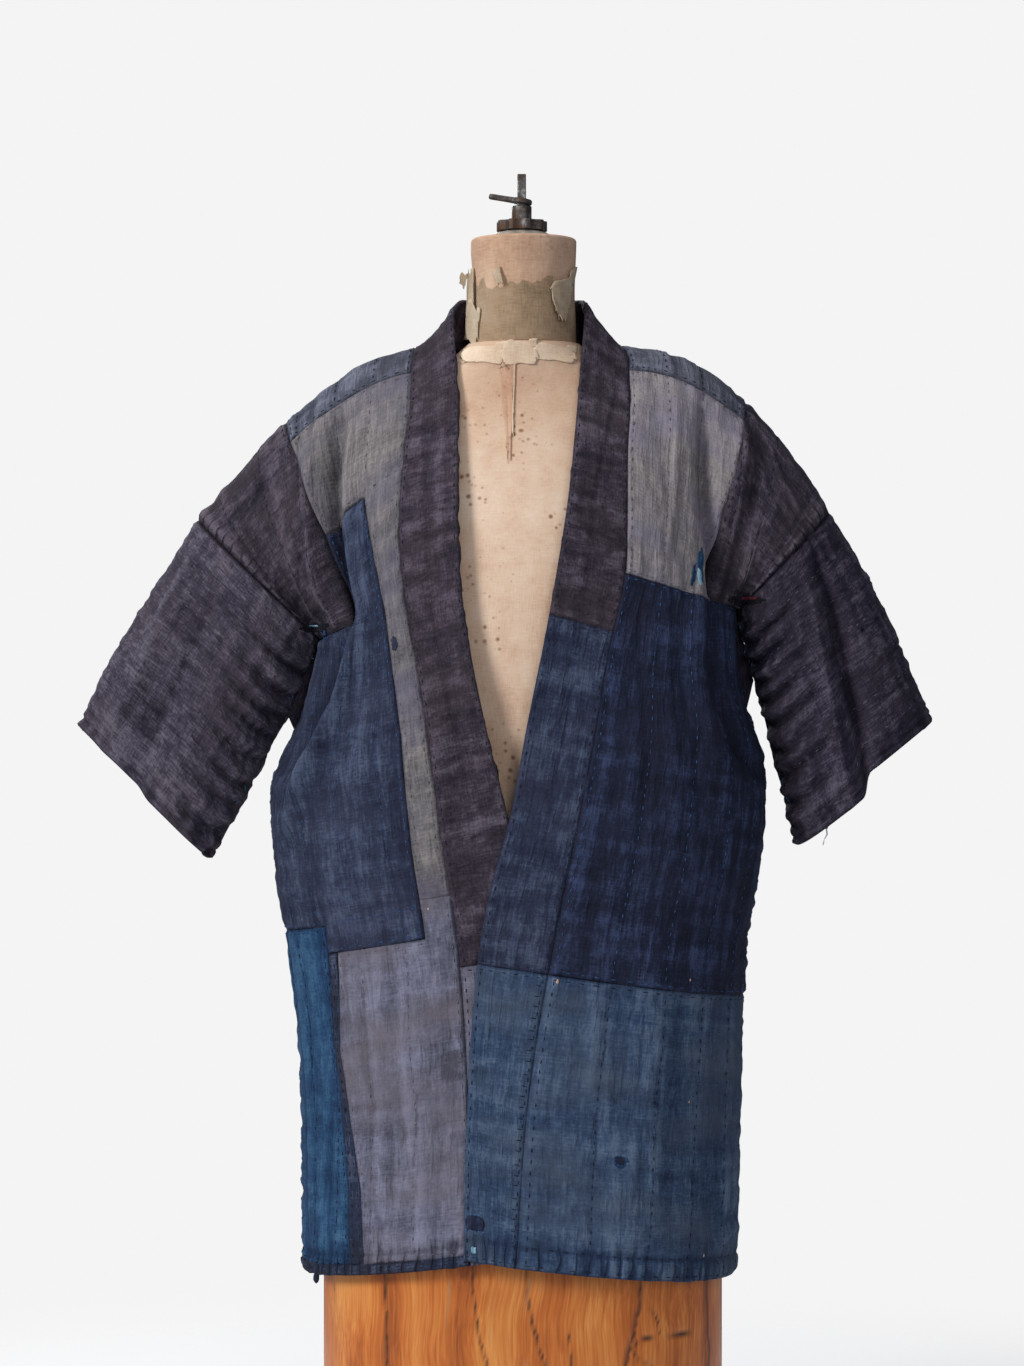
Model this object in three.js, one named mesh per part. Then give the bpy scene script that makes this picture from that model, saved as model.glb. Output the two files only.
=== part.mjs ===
/*
 * Boro noragi jacket on a limbless dress form, standing on a wood stump.
 *
 * Millimetres, +Z up. The jacket's front faces -Y and the wearer's left is +X.
 * The origin is on the underside of the stump, under the middle of the jacket.
 *
 * Each half of the jacket is one long width of cloth, as in a kimono: it starts at the front hem,
 * rises over the shoulder and falls to the back hem. A point of it has two cloth coordinates:
 *   along   millimetres from the front hem, over the shoulder, to the back hem
 *   across  0 at the seam with the neck band, 1 at the side or the sleeve seam,
 *           -1 at the free edge of the neck band, 2 at the cuff of the sleeve
 * Every cloth piece is a set of cells on that lattice, so neighbours share their seam lines.
 */
import * as THREE from "three";

// Cloth
const CLOTH_WALL = 3; // quilted layers of worn cotton
const BAND_WALL = 5.5; // neck band, folded over its core
const SEAM_GAP = 0.3;
const BAND_EASE = 0.5; // the thick band stands this much further off its seam
const ARMPIT_EASE = 1; // the cloth is cut back this much at the armpit's sharp corner
const CLOTH_LENGTH = 860; // front hem to the shoulder ridge
const ARMPIT_ALONG = 600; // front hem to the armpit
const BODY_ROUNDNESS = 2.25; // superellipse exponent of the body's plan
const FOLD_SPAN = { body: 225, sleeve: 200 }; // mm that one unit of across stands for, in the folds

// Stump, form and its fittings
const STUMP = { x: 2.5, halfWidth: 185, halfDepth: 127, height: 450, edge: 7, lobes: 5, lobeDepth: 1.6 };
const NECK = { x: 3.5, radius: 48.5, top: 1183, bottom: 1086, sides: 32 };
const FITTING_X = 1.5;
const DOME = { radius: 29, height: 6.7 };
const COLLAR = { radius: 23.5, notch: 3, notches: 9, height: 9.5 };
const BOSS = { radius: 9.3, height: 13.5, sides: 12 };
const LEVER = { ring: 9.2, hole: 6.7, reach: 31, width: 7, thick: 5, tilt: 0.16 };
const ROD = { side: 8, length: 29 };
const FACE_GAP = 0.3; // between stacked solids

const COLOUR = {
  plum: "#3d3941", plumSleeve: "#423e46", taupe: "#74716f", indigo: "#2d344c", steel: "#3d5674",
  lavender: "#636170", blue: "#264b72", yoke: "#505767", navy: "#20263a", slate: "#4a4f60",
  buff: "#ddc4a3", linen: "#8f806d", wood: "#ba7740", iron: "#4b4644",
};

/** Rows of numbers as one array for each named column. */
function table(columns, rows) {
  const byName = {};
  columns.forEach((name, i) => { byName[name] = rows.map((row) => row[i]); });
  return byName;
}

const SECTION_COLUMNS = ["along", "seamX", "seamZ", "edgeX", "edgeZ", "sideX", "sideZ", "depth"];

/** Sections round the back of the neck and down the blades, with the side's armpit point. */
const backSections = (armpitX, armpitZ) => [
  [895, 70, 1084, 56, 1130, armpitX, armpitZ, 125],
  [920, 46, 1081, 39, 1131, armpitX, armpitZ, 130],
  [940, 0, 1076, 0, 1131, armpitX, armpitZ, 134],
  [1000, 0, 1030, 0, 1080, armpitX, armpitZ, 124],
  [1060, 0, 965, 0, 1010, armpitX, armpitZ, 119],
  [1120, 0, 895, 0, 940, armpitX, armpitZ, 119],
];

const SECTIONS = {
  left: table(SECTION_COLUMNS, [
    [0, -4, 261, -50, 268, 197, 237, 150],
    [150, 8, 414, -46, 422, 202, 388, 144],
    [300, 34, 567, -30, 577, 209, 539, 138],
    [380, 51, 649, -8, 661, 221, 619, 133],
    [450, 65, 720, 5, 733, 225, 689, 127],
    [530, 79, 802, 22, 817, 204, 770, 122],
    [600, 94, 873, 35, 890, 198, 842, 119],
    [660, 96, 928, 43, 943, 198, 842, 118],
    [720, 97, 983, 49, 999, 198, 842, 118],
    [780, 100, 1035, 54, 1054, 198, 842, 118],
    [825, 100, 1069, 58, 1097, 198, 842, 118],
    [860, 91, 1084, 60, 1124, 198, 842, 118],
    ...backSections(198, 842),
    [1190, 0, 820, 0, 0, 204, 770, 120],
    [1270, 0, 735, 0, 0, 225, 689, 120],
    [1340, 0, 655, 0, 0, 221, 619, 122],
    [1420, 0, 570, 0, 0, 209, 539, 126],
    [1570, 0, 405, 0, 0, 202, 388, 134],
    [1720, 0, 244, 0, 0, 197, 237, 142],
  ]),
  right: table(SECTION_COLUMNS, [
    [0, 44, 262, -7, 267, 200, 240, 141],
    [150, 46, 409, -9, 416, 200, 384, 135],
    [300, 57, 556, -6, 565, 211, 528, 129.5],
    [380, 70, 634, 9, 648, 225, 604, 125.5],
    [450, 79, 703, 26, 717, 229, 671, 122.5],
    [530, 91, 781, 43, 796, 200, 748, 120.5],
    [600, 103, 850, 53, 866, 182, 815, 118],
    [660, 109, 912, 56, 926, 182, 815, 118],
    [720, 106, 972, 56, 985, 182, 815, 118],
    [780, 100, 1030, 57, 1046, 182, 815, 118],
    [825, 99, 1067, 60, 1090, 182, 815, 118],
    [860, 94, 1084, 62, 1114, 182, 815, 118],
    ...backSections(182, 815),
    [1190, 0, 820, 0, 0, 200, 748, 120],
    [1270, 0, 735, 0, 0, 229, 671, 120],
    [1340, 0, 655, 0, 0, 225, 604, 122],
    [1420, 0, 570, 0, 0, 211, 528, 126],
    [1570, 0, 405, 0, 0, 200, 384, 134],
    [1720, 0, 244, 0, 0, 200, 240, 142],
  ]),
};

// Sleeve rings from the seam (across 1) to the cuff (across 2): highest and lowest points, half depth.
const SLEEVE_COLUMNS = ["across", "topX", "topZ", "underX", "underZ", "depth", "y"];
const SLEEVES = {
  left: table(SLEEVE_COLUMNS, [
    [1, 285, 932, 198, 842, 60, 0],
    [1.5, 338, 837, 220, 757, 55, -2],
    [2, 382, 733, 247, 651, 46, -4],
  ]),
  right: table(SLEEVE_COLUMNS, [
    [1, 297, 925, 182, 815, 54, 0],
    [1.5, 355, 833, 224, 726, 49, -2],
    [2, 408, 737, 273, 631, 42, -4],
  ]),
};
const CUFF_DROP = 0.085; // extra reach of the cuff's lower front, as a share of the sleeve
const UNDERARM_SLIT = { opening: 0.05, start: 2.6, blend: 0.3 }; // unsewn under the arm; angles in radians
const ARMHOLE_BLEND = 0.5; // across value where the chest starts to narrow into the armhole
const ARMPIT_TURN = 0.7; // radians above the armpit over which that narrowing grows
const SHOULDER_FALL = { left: 2.1, right: 1.6 }; // how late the shoulder line drops, per side

// Folds: side, rise (troughs are negative) and half width in mm, then the across, along path.
const FOLDS = [
  // right front: the fold at the arm, its roll, the cap that bulges past it, the pull to the hip
  ["right", -13, 12, [[0.31, 802], [0.375, 745], [0.39, 700], [0.415, 645], [0.42, 590]]],
  ["right", 7, 13, [[0.44, 815], [0.5, 760], [0.515, 735]]],
  ["right", 11, 22, [[0.7, 770], [0.68, 705], [0.65, 655]]],
  ["right", 9, 17, [[0.3, 625], [0.38, 540], [0.54, 465], [0.76, 395]]],
  ["right", -9, 24, [[0.52, 600], [0.62, 545], [0.84, 470]]],
  // left front: the same, shallower
  ["left", -12, 12, [[0.36, 795], [0.375, 742], [0.41, 712], [0.485, 670], [0.56, 595]]],
  ["left", 8, 13, [[0.57, 815], [0.55, 760], [0.52, 715]]],
  ["left", 8, 20, [[0.78, 765], [0.755, 700], [0.73, 650]]],
  ["left", -8, 13, [[0.56, 600], [0.54, 545], [0.62, 474], [0.84, 450]]],
  ["left", 5, 16, [[0.45, 610], [0.45, 520], [0.52, 430]]],
  // backs: the blade folds and the pull at the armhole
  ["right", -9, 14, [[0.45, 935], [0.43, 1010], [0.475, 1090], [0.6, 1150]]],
  ["left", -8, 14, [[0.49, 930], [0.445, 1020], [0.5, 1100], [0.58, 1160]]],
  ["right", 7, 18, [[0.72, 960], [0.66, 1040], [0.66, 1110]]],
  ["left", 7, 18, [[0.75, 955], [0.67, 1050], [0.7, 1115]]],
  // skirts: slow waves that hang to the hem
  ["right", 4, 20, [[0.27, 290], [0.24, 150], [0.22, -20]]],
  ["right", -4, 17, [[0.62, 330], [0.6, 170], [0.58, -20]]],
  ["left", 4, 20, [[0.3, 330], [0.33, 160], [0.35, -20]]],
  ["left", -4, 18, [[0.66, 260], [0.64, 130], [0.62, -20]]],
  ["right", 5, 22, [[0.4, 1290], [0.42, 1500], [0.4, 1740]]],
  ["left", -5, 20, [[0.34, 1330], [0.36, 1520], [0.38, 1740]]],
  ["left", 5, 22, [[0.7, 1300], [0.68, 1520], [0.7, 1740]]],
  ["right", -4, 20, [[0.74, 1330], [0.72, 1520], [0.72, 1740]]],
  // sleeves: one long roll down the front and one down the back
  ["left", 7, 11, [[1.05, 770], [1.5, 745], [2.1, 722]]],
  ["left", -5, 11, [[1.05, 738], [1.5, 714], [2.1, 690]]],
  ["right", 6, 12, [[1.05, 800], [1.5, 790], [2.1, 775]]],
  ["right", -5, 12, [[1.05, 760], [1.5, 748], [2.1, 735]]],
  ["left", 5, 14, [[1.05, 950], [1.5, 965], [2.1, 985]]],
  ["right", 5, 14, [[1.05, 955], [1.5, 975], [2.1, 990]]],
];

// Gathers across the under half of each sleeve, where its seam is drawn up.
const GATHERS = {
  left: { count: 8, first: 1.14, pitch: 0.1, from: 622, to: 705, rise: 3, halfWidth: 6 },
  right: { count: 8, first: 1.12, pitch: 0.105, from: 618, to: 715, rise: 3.4, halfWidth: 6.5 },
};
for (const side of ["left", "right"]) {
  const g = GATHERS[side];
  for (let i = 0; i < g.count; i++) {
    const across = g.first + g.pitch * i;
    FOLDS.push([side, g.rise, g.halfWidth, [[across, g.from], [across + 0.03, g.to]]]);
  }
}

// Lattice rows (along). Those with a name carry a seam.
const ROW = {
  hem: 0, binding: 10, leftWaist: 252, bandEnd: 267, patchFoot: 297, sideTop: 322, stripFoot: 332,
  bandJoin: 548, armpit: ARMPIT_ALONG, patchTop: 712, shoulder: 812, neckBack: 940, yokeFoot: 1000,
  backArmpit: 1120, backPatch: 1300, backWaist: 1470, backHem: 1720,
};
const ROWS = [
  ROW.hem, ROW.binding, 50, 100, 150, 200, ROW.leftWaist, ROW.bandEnd, ROW.patchFoot, ROW.sideTop,
  ROW.stripFoot, 370, 410, 455, 500, ROW.bandJoin, ROW.armpit, 630, 658, 685, ROW.patchTop, 740, 765,
  790, ROW.shoulder, 836, 860, 880, 900, 920, ROW.neckBack, 968, ROW.yokeFoot, 1040, 1080,
  ROW.backArmpit, 1160, 1205, 1250, ROW.backPatch, 1355, 1412, ROW.backWaist, 1530, 1590, 1655,
  ROW.backHem,
];

// Lattice columns. The named ones carry seams, and each has its own across value along the cloth.
const COL = { edge: -3, seam: 0, strip: 2, cap: 6, trim: 7, side: 14 };
const COLUMN_PATHS = {
  left: {
    strip: table(["along", "across"], [[0, 0.12], [1720, 0.12]]),
    cap: table(["along", "across"], [
      [0, 0.42], [400, 0.5], [600, 0.56], [640, 0.515], [680, 0.495], [720, 0.49], [760, 0.525],
      [812, 0.57], [860, 0.6], [1000, 0.56], [1120, 0.5], [1300, 0.44], [1720, 0.42],
    ]),
    trim: table(["along", "across"], [[0, 0.5], [600, 0.64], [720, 0.57], [860, 0.66], [1720, 0.5]]),
  },
  right: {
    strip: table(["along", "across"], [
      [0, 0.105], [300, 0.1], [480, 0.09], [572, 0.125], [640, 0.145], [712, 0.195], [812, 0.22],
      [1720, 0.16],
    ]),
    cap: table(["along", "across"], [
      [0, 0.39], [80, 0.41], [148, 0.465], [208, 0.51], [297, 0.465], [400, 0.44], [600, 0.43],
      [660, 0.425], [712, 0.445], [766, 0.51], [812, 0.57], [860, 0.6], [1000, 0.56], [1120, 0.5],
      [1300, 0.44], [1720, 0.42],
    ]),
    trim: table(["along", "across"], [
      [0, 0.465], [80, 0.475], [148, 0.51], [220, 0.55], [322, 0.51], [450, 0.52], [600, 0.51],
      [712, 0.52], [812, 0.64], [860, 0.66], [1120, 0.57], [1720, 0.5],
    ]),
  },
};

/** Smooth curve through a table's values with no overshoot, straight beyond its ends. */
function curveAt(keys, values, x) {
  const last = keys.length - 1;
  const slope = (i) => (values[i + 1] - values[i]) / (keys[i + 1] - keys[i]);
  const tangent = (i) => {
    if (i === 0) return slope(0);
    if (i === last) return slope(last - 1);
    if (slope(i - 1) * slope(i) <= 0) return 0;
    const before = keys[i] - keys[i - 1];
    const after = keys[i + 1] - keys[i];
    return (slope(i - 1) * after + slope(i) * before) / (before + after);
  };
  if (x <= keys[0]) return values[0] + tangent(0) * (x - keys[0]);
  if (x >= keys[last]) return values[last] + tangent(last) * (x - keys[last]);
  let i = 0;
  while (x > keys[i + 1]) i++;
  const span = keys[i + 1] - keys[i];
  const q = (x - keys[i]) / span;
  const q2 = q * q;
  const q3 = q2 * q;
  return values[i] * (2 * q3 - 3 * q2 + 1) + tangent(i) * span * (q3 - 2 * q2 + q)
    + values[i + 1] * (3 * q2 - 2 * q3) + tangent(i + 1) * span * (q3 - q2);
}

/** Straight lines through a table's values. */
function lineAt(keys, values, x) {
  const last = keys.length - 1;
  let i = 0;
  while (i < last - 1 && x > keys[i + 1]) i++;
  const q = THREE.MathUtils.clamp((x - keys[i]) / (keys[i + 1] - keys[i]), 0, 1);
  return values[i] + (values[i + 1] - values[i]) * q;
}

const ease = (q) => THREE.MathUtils.smoothstep(q, 0, 1);
const signedPower = (v, p) => Math.sign(v) * Math.abs(v) ** p;
const sideSign = (side) => (side === "left" ? 1 : -1);

/** Angle round the shoulder: pi at the front armpit, 0 on the ridge, -pi at the back armpit. */
function shoulderAngle(along) {
  const turn = (CLOTH_LENGTH - along) / (CLOTH_LENGTH - ARMPIT_ALONG);
  return Math.PI * THREE.MathUtils.clamp(turn, -1, 1);
}

/** Point of a sleeve ring, on the left side of the body. */
function sleevePoint(side, across, along) {
  const s = SLEEVES[side];
  const angle = shoulderAngle(along);
  const low = 0.5 - 0.5 * Math.cos(angle + 0.35);
  const reach = across + CUFF_DROP * low * low * Math.max(across - 1, 0);
  const at = (column) => curveAt(s.across, s[column], reach);
  const c = Math.cos(angle);
  return new THREE.Vector3(
    (at("topX") + at("underX")) / 2 + ((at("topX") - at("underX")) / 2) * c,
    at("y") - at("depth") * Math.sin(angle),
    (at("topZ") + at("underZ")) / 2 + ((at("topZ") - at("underZ")) / 2) * c,
  );
}

/** Point of the body cloth, on the left side of the body. */
function bodyPoint(side, across, along) {
  const s = SECTIONS[side];
  const at = (column) => curveAt(s.along, s[column], along);
  const angle = shoulderAngle(along);
  const upper = Math.abs(angle) < Math.PI;
  const outer = upper
    ? sleevePoint(side, 1, along)
    : new THREE.Vector3(at("sideX"), 0, at("sideZ"));
  const start = Math.asin(signedPower(at("seamX") / at("sideX"), BODY_ROUNDNESS / 2));
  const turn = start + (Math.PI / 2 - start) * across;
  const power = 2 / BODY_ROUNDNESS;
  const first = signedPower(Math.sin(start), power);
  // 0 where the cloth hangs round the side, 1 on the shoulder ridge, where it runs out evenly
  const ridge = upper ? (1 + Math.cos(angle)) / 2 : 0;
  const rounded = (signedPower(Math.sin(turn), power) - first) / (1 - first);
  const out = rounded * (1 - ridge) + across * ridge;
  const fall = 1 + (SHOULDER_FALL[side] - 1) * ridge;
  const wide = Math.min(first + (1 - first) * out, 1);
  const depth = at("depth") * Math.sin(angle / 2) * (1 - Math.abs(wide) ** BODY_ROUNDNESS) ** (power / 2);
  const toArmhole = ease((across - ARMHOLE_BLEND) / (1 - ARMHOLE_BLEND));
  const aboveArmpit = ease((Math.PI - Math.abs(angle)) / ARMPIT_TURN);
  return new THREE.Vector3(
    at("seamX") + (outer.x - at("seamX")) * out,
    -depth * (1 - toArmhole * aboveArmpit) + outer.y * toArmhole,
    at("seamZ") + (outer.z - at("seamZ")) * Math.max(out, 0) ** fall,
  );
}

/** Point of the neck band, on the left side of the body. across runs from -1 to 0. */
function bandPoint(side, across, along) {
  const s = SECTIONS[side];
  const at = (column) => curveAt(s.along, s[column], along);
  const seam = bodyPoint(side, 0, along);
  const wide = Math.abs(at("edgeX") / at("sideX")) ** BODY_ROUNDNESS;
  const edgeY = -at("depth") * Math.sin(shoulderAngle(along) / 2) * (1 - wide) ** (1 / BODY_ROUNDNESS);
  return seam.lerp(new THREE.Vector3(at("edgeX"), edgeY, at("edgeZ")), -across);
}

/** Plain surface point, mirrored for the right side, with each edge carried on past its seam. */
function plainPoint(side, across, along) {
  const onShoulder = along >= ROW.armpit && along <= ROW.backArmpit;
  let point;
  if (across > 1 && (onShoulder || across > 1.02)) {
    const turn = ROW.backArmpit - ROW.armpit;
    const wrapped = ROW.armpit + ((((along - ROW.armpit) % turn) + turn) % turn);
    point = sleevePoint(side, across, wrapped);
  } else if (across > 1) {
    point = bodyPoint(side, 2 - across, along).multiply(new THREE.Vector3(1, -1, 1));
  } else if (across < 0 && along > ROW.neckBack) {
    point = bodyPoint(side, -across, along).multiply(new THREE.Vector3(-1, 1, 1));
  } else if (across < 0) {
    point = bandPoint(side, Math.max(across, -1), along);
  } else {
    point = bodyPoint(side, across, along);
  }
  point.x *= sideSign(side);
  return point;
}

/** Outward normal and both tangents of a surface function at a point of the cloth. */
function frameOf(surface, side, across, along) {
  const stepAcross = 0.012;
  const stepAlong = 3;
  const here = surface(side, across, along);
  const unit = (from, to) => to.clone().sub(from).normalize();
  const acrossTangent = unit(here, surface(side, across + stepAcross, along));
  if (across > -1 + stepAcross) acrossTangent.add(unit(surface(side, across - stepAcross, along), here));
  const alongTangent = unit(surface(side, across, along - stepAlong), surface(side, across, along + stepAlong));
  // On the centre back and the side seam both halves mirror each other, so the wall is square.
  const mirrorAxis = (across === 0 && along >= ROW.neckBack && "x")
    || (across === 1 && (along <= ROW.armpit || along >= ROW.backArmpit) && "y");
  acrossTangent.normalize();
  const normal = acrossTangent.clone().cross(alongTangent).multiplyScalar(sideSign(side));
  if (mirrorAxis) {
    normal[mirrorAxis] = 0;
    alongTangent[mirrorAxis] = 0;
  }
  normal.normalize();
  return { here, acrossTangent, alongTangent, normal };
}

/** Height of one fold at a point: a soft ridge or trough along its path, tapered at both ends. */
function foldHeight(fold, across, along) {
  const [, rise, halfWidth, path] = fold;
  const span = path[0][0] > 1 ? FOLD_SPAN.sleeve : FOLD_SPAN.body;
  let best = Infinity;
  let travel = 0;
  let bestTravel = 0;
  for (let i = 0; i + 1 < path.length; i++) {
    const dx = (path[i + 1][0] - path[i][0]) * span;
    const dy = path[i + 1][1] - path[i][1];
    const px = (across - path[i][0]) * span;
    const py = along - path[i][1];
    const length = Math.hypot(dx, dy);
    const q = THREE.MathUtils.clamp((px * dx + py * dy) / (length * length), 0, 1);
    const distance = Math.hypot(px - q * dx, py - q * dy);
    if (distance < best) {
      best = distance;
      bestTravel = travel + q * length;
    }
    travel += length;
  }
  const fromMiddle = Math.abs((2 * bestTravel) / travel - 1);
  return rise * (1 - fromMiddle ** 3) * Math.exp(-((best / halfWidth) ** 2));
}

/** Folded surface point of the cloth. */
function clothPoint(side, across, along) {
  const { here, normal } = frameOf(plainPoint, side, across, along);
  let height = 0;
  for (const fold of FOLDS) {
    const onSleeve = fold[3][0][0] > 1;
    if (fold[0] === side && onSleeve === across > 1) height += foldHeight(fold, across, along);
  }
  const fromSeam = Math.abs(across - 1);
  return here.addScaledVector(normal, height * ease(fromSeam / 0.12));
}

/** across value of a lattice column on a row of the cloth. */
function columnAcross(side, column, along) {
  if (column <= COL.seam) return -column / COL.edge;
  const paths = COLUMN_PATHS[side];
  const keyed = (name) => lineAt(paths[name].along, paths[name].across, along);
  const keys = [COL.seam, COL.strip, COL.cap, COL.trim, COL.side];
  const values = [0, keyed("strip"), keyed("cap"), keyed("trim"), 1];
  return lineAt(keys, values, column);
}

/** Closed mesh of a grid of outer and inner points. Only the cells that hold() are built. */
function shellGeometry(rowCount, columnCount, vertexAt, holds, closedRows) {
  const positions = [];
  const index = new Map();
  const vertex = (i, j, inner) => {
    const row = closedRows ? i % rowCount : i;
    const key = `${row},${j},${inner}`;
    if (!index.has(key)) {
      index.set(key, positions.length / 3);
      positions.push(...vertexAt(row, j, inner).toArray());
    }
    return index.get(key);
  };
  const faces = [];
  const quad = (a, b, c, d) => faces.push(a, b, c, a, c, d);
  const cellRows = closedRows ? rowCount : rowCount - 1;
  const filled = (i, j) => {
    const row = closedRows ? (i + rowCount) % rowCount : i;
    return row >= 0 && row < cellRows && j >= 0 && j < columnCount - 1 && holds(row, j);
  };
  for (let i = 0; i < cellRows; i++) {
    for (let j = 0; j < columnCount - 1; j++) {
      if (!filled(i, j)) continue;
      quad(vertex(i, j, 0), vertex(i, j + 1, 0), vertex(i + 1, j + 1, 0), vertex(i + 1, j, 0));
      quad(vertex(i, j, 1), vertex(i + 1, j, 1), vertex(i + 1, j + 1, 1), vertex(i, j + 1, 1));
      // Both walls of a seam share the direction of their diagonals, so they stay parallel.
      const wall = (i0, j0, i1, j1, turned) => {
        const corners = [vertex(i0, j0, 0), vertex(i0, j0, 1), vertex(i1, j1, 1), vertex(i1, j1, 0)];
        if (turned) corners.push(corners.shift());
        quad(...corners);
      };
      if (!filled(i - 1, j)) wall(i, j, i, j + 1, false);
      if (!filled(i + 1, j)) wall(i + 1, j + 1, i + 1, j, true);
      if (!filled(i, j - 1)) wall(i + 1, j, i, j, true);
      if (!filled(i, j + 1)) wall(i, j + 1, i + 1, j + 1, false);
    }
  }
  const geometry = new THREE.BufferGeometry();
  geometry.setAttribute("position", new THREE.Float32BufferAttribute(positions, 3));
  geometry.setIndex(faces);
  geometry.computeVertexNormals();
  return geometry;
}

function mesh(name, geometry, colour, roughness = 0.92, metalness = 0) {
  const material = new THREE.MeshStandardMaterial({ color: colour, roughness, metalness });
  const part = new THREE.Mesh(geometry, material);
  part.name = name;
  return part;
}

/**
 * One cut piece of cloth. rows is a list of { side, along } in the order that they are joined,
 * and areas is a list of [fromAlong, toAlong, fromColumn, toColumn] that the piece fills.
 */
function clothPiece(name, rows, areas, wall, colour) {
  const firstColumn = Math.min(...areas.map((area) => area[2]));
  const lastColumn = Math.max(...areas.map((area) => area[3]));
  const columnCount = lastColumn - firstColumn + 1;
  const holds = (i, j) => {
    if (i < 0 || i + 1 >= rows.length || j < 0 || j + 1 >= columnCount) return false;
    const middle = (rows[i].along + rows[i + 1].along) / 2;
    const column = firstColumn + j + 0.5;
    return areas.some(([from, to, left, right]) => middle > from && middle < to && column > left && column < right);
  };
  const vertexAt = (i, j, inner) => {
    const { side, along } = rows[i];
    const across = columnAcross(side, firstColumn + j, along);
    const { here, acrossTangent, alongTangent, normal } = frameOf(clothPoint, side, across, along);
    const ahead = holds(i, j) + holds(i, j - 1);
    const behind = holds(i - 1, j) + holds(i - 1, j - 1);
    const outward = holds(i, j) + holds(i - 1, j);
    const inward = holds(i, j - 1) + holds(i - 1, j - 1);
    const atArmpit = across === 1 && (along === ROW.armpit || along === ROW.backArmpit);
    const alongStep = atArmpit ? ARMPIT_EASE : SEAM_GAP / 2;
    const acrossStep = SEAM_GAP / 2 + (wall === BAND_WALL && across === 0 ? BAND_EASE : 0);
    // Each edge is drawn back square to itself, whatever the angle between the two tangents.
    const skew = acrossTangent.dot(alongTangent);
    const squareAlong = alongTangent.clone().addScaledVector(acrossTangent, -skew).normalize();
    const squareAcross = acrossTangent.clone().addScaledVector(alongTangent, -skew).normalize();
    return here
      .addScaledVector(squareAlong, Math.sign(ahead - behind) * rowDirection(rows, i) * alongStep)
      .addScaledVector(squareAcross, Math.sign(outward - inward) * acrossStep)
      .addScaledVector(normal, inner ? -wall : 0);
  };
  return mesh(name, shellGeometry(rows.length, columnCount, vertexAt, holds, false), colour);
}

/** +1 where the list of rows runs with the cloth's length, -1 where it runs against it. */
function rowDirection(rows, i) {
  const next = Math.min(i + 1, rows.length - 1);
  const here = next === i ? i - 1 : i;
  return Math.sign(rows[here + 1].along - rows[here].along);
}

/** Lattice rows of one side between two values, in the order that keeps faces pointing out. */
function rowsBetween(side, from, to) {
  const rows = ROWS.filter((along) => along >= from && along <= to).map((along) => ({ side, along }));
  return side === "left" ? rows : rows.reverse();
}

/** A piece of one side, from the areas that it fills. */
function sidePiece(name, side, areas, wall, colour) {
  const from = Math.min(...areas.map((area) => area[0]));
  const to = Math.max(...areas.map((area) => area[1]));
  return clothPiece(name, rowsBetween(side, from, to), areas, wall, colour);
}

/** A sleeve: an open tube whose rings keep the armhole's stations. */
function sleeve(side, colour) {
  const stations = 20;
  const ring = rowsBetween(side, ROW.armpit, ROW.backArmpit);
  if (side === "left") ring.pop();
  else ring.shift();
  const vertexAt = (i, j, inner) => {
    const along = ring[i].along;
    const angle = Math.abs(shoulderAngle(along));
    const slit = UNDERARM_SLIT.opening * ease((angle - UNDERARM_SLIT.start) / UNDERARM_SLIT.blend);
    const across = 1 + slit + ((1 - slit) * j) / stations;
    const { here, acrossTangent, normal } = frameOf(clothPoint, side, across, along);
    const seamStep = j === 0 ? SEAM_GAP / 2 : 0;
    return here.addScaledVector(acrossTangent, seamStep).addScaledVector(normal, inner ? -CLOTH_WALL : 0);
  };
  const geometry = shellGeometry(ring.length, stations + 1, vertexAt, () => true, true);
  return mesh(`sleeve_${side}`, geometry, colour);
}

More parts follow.
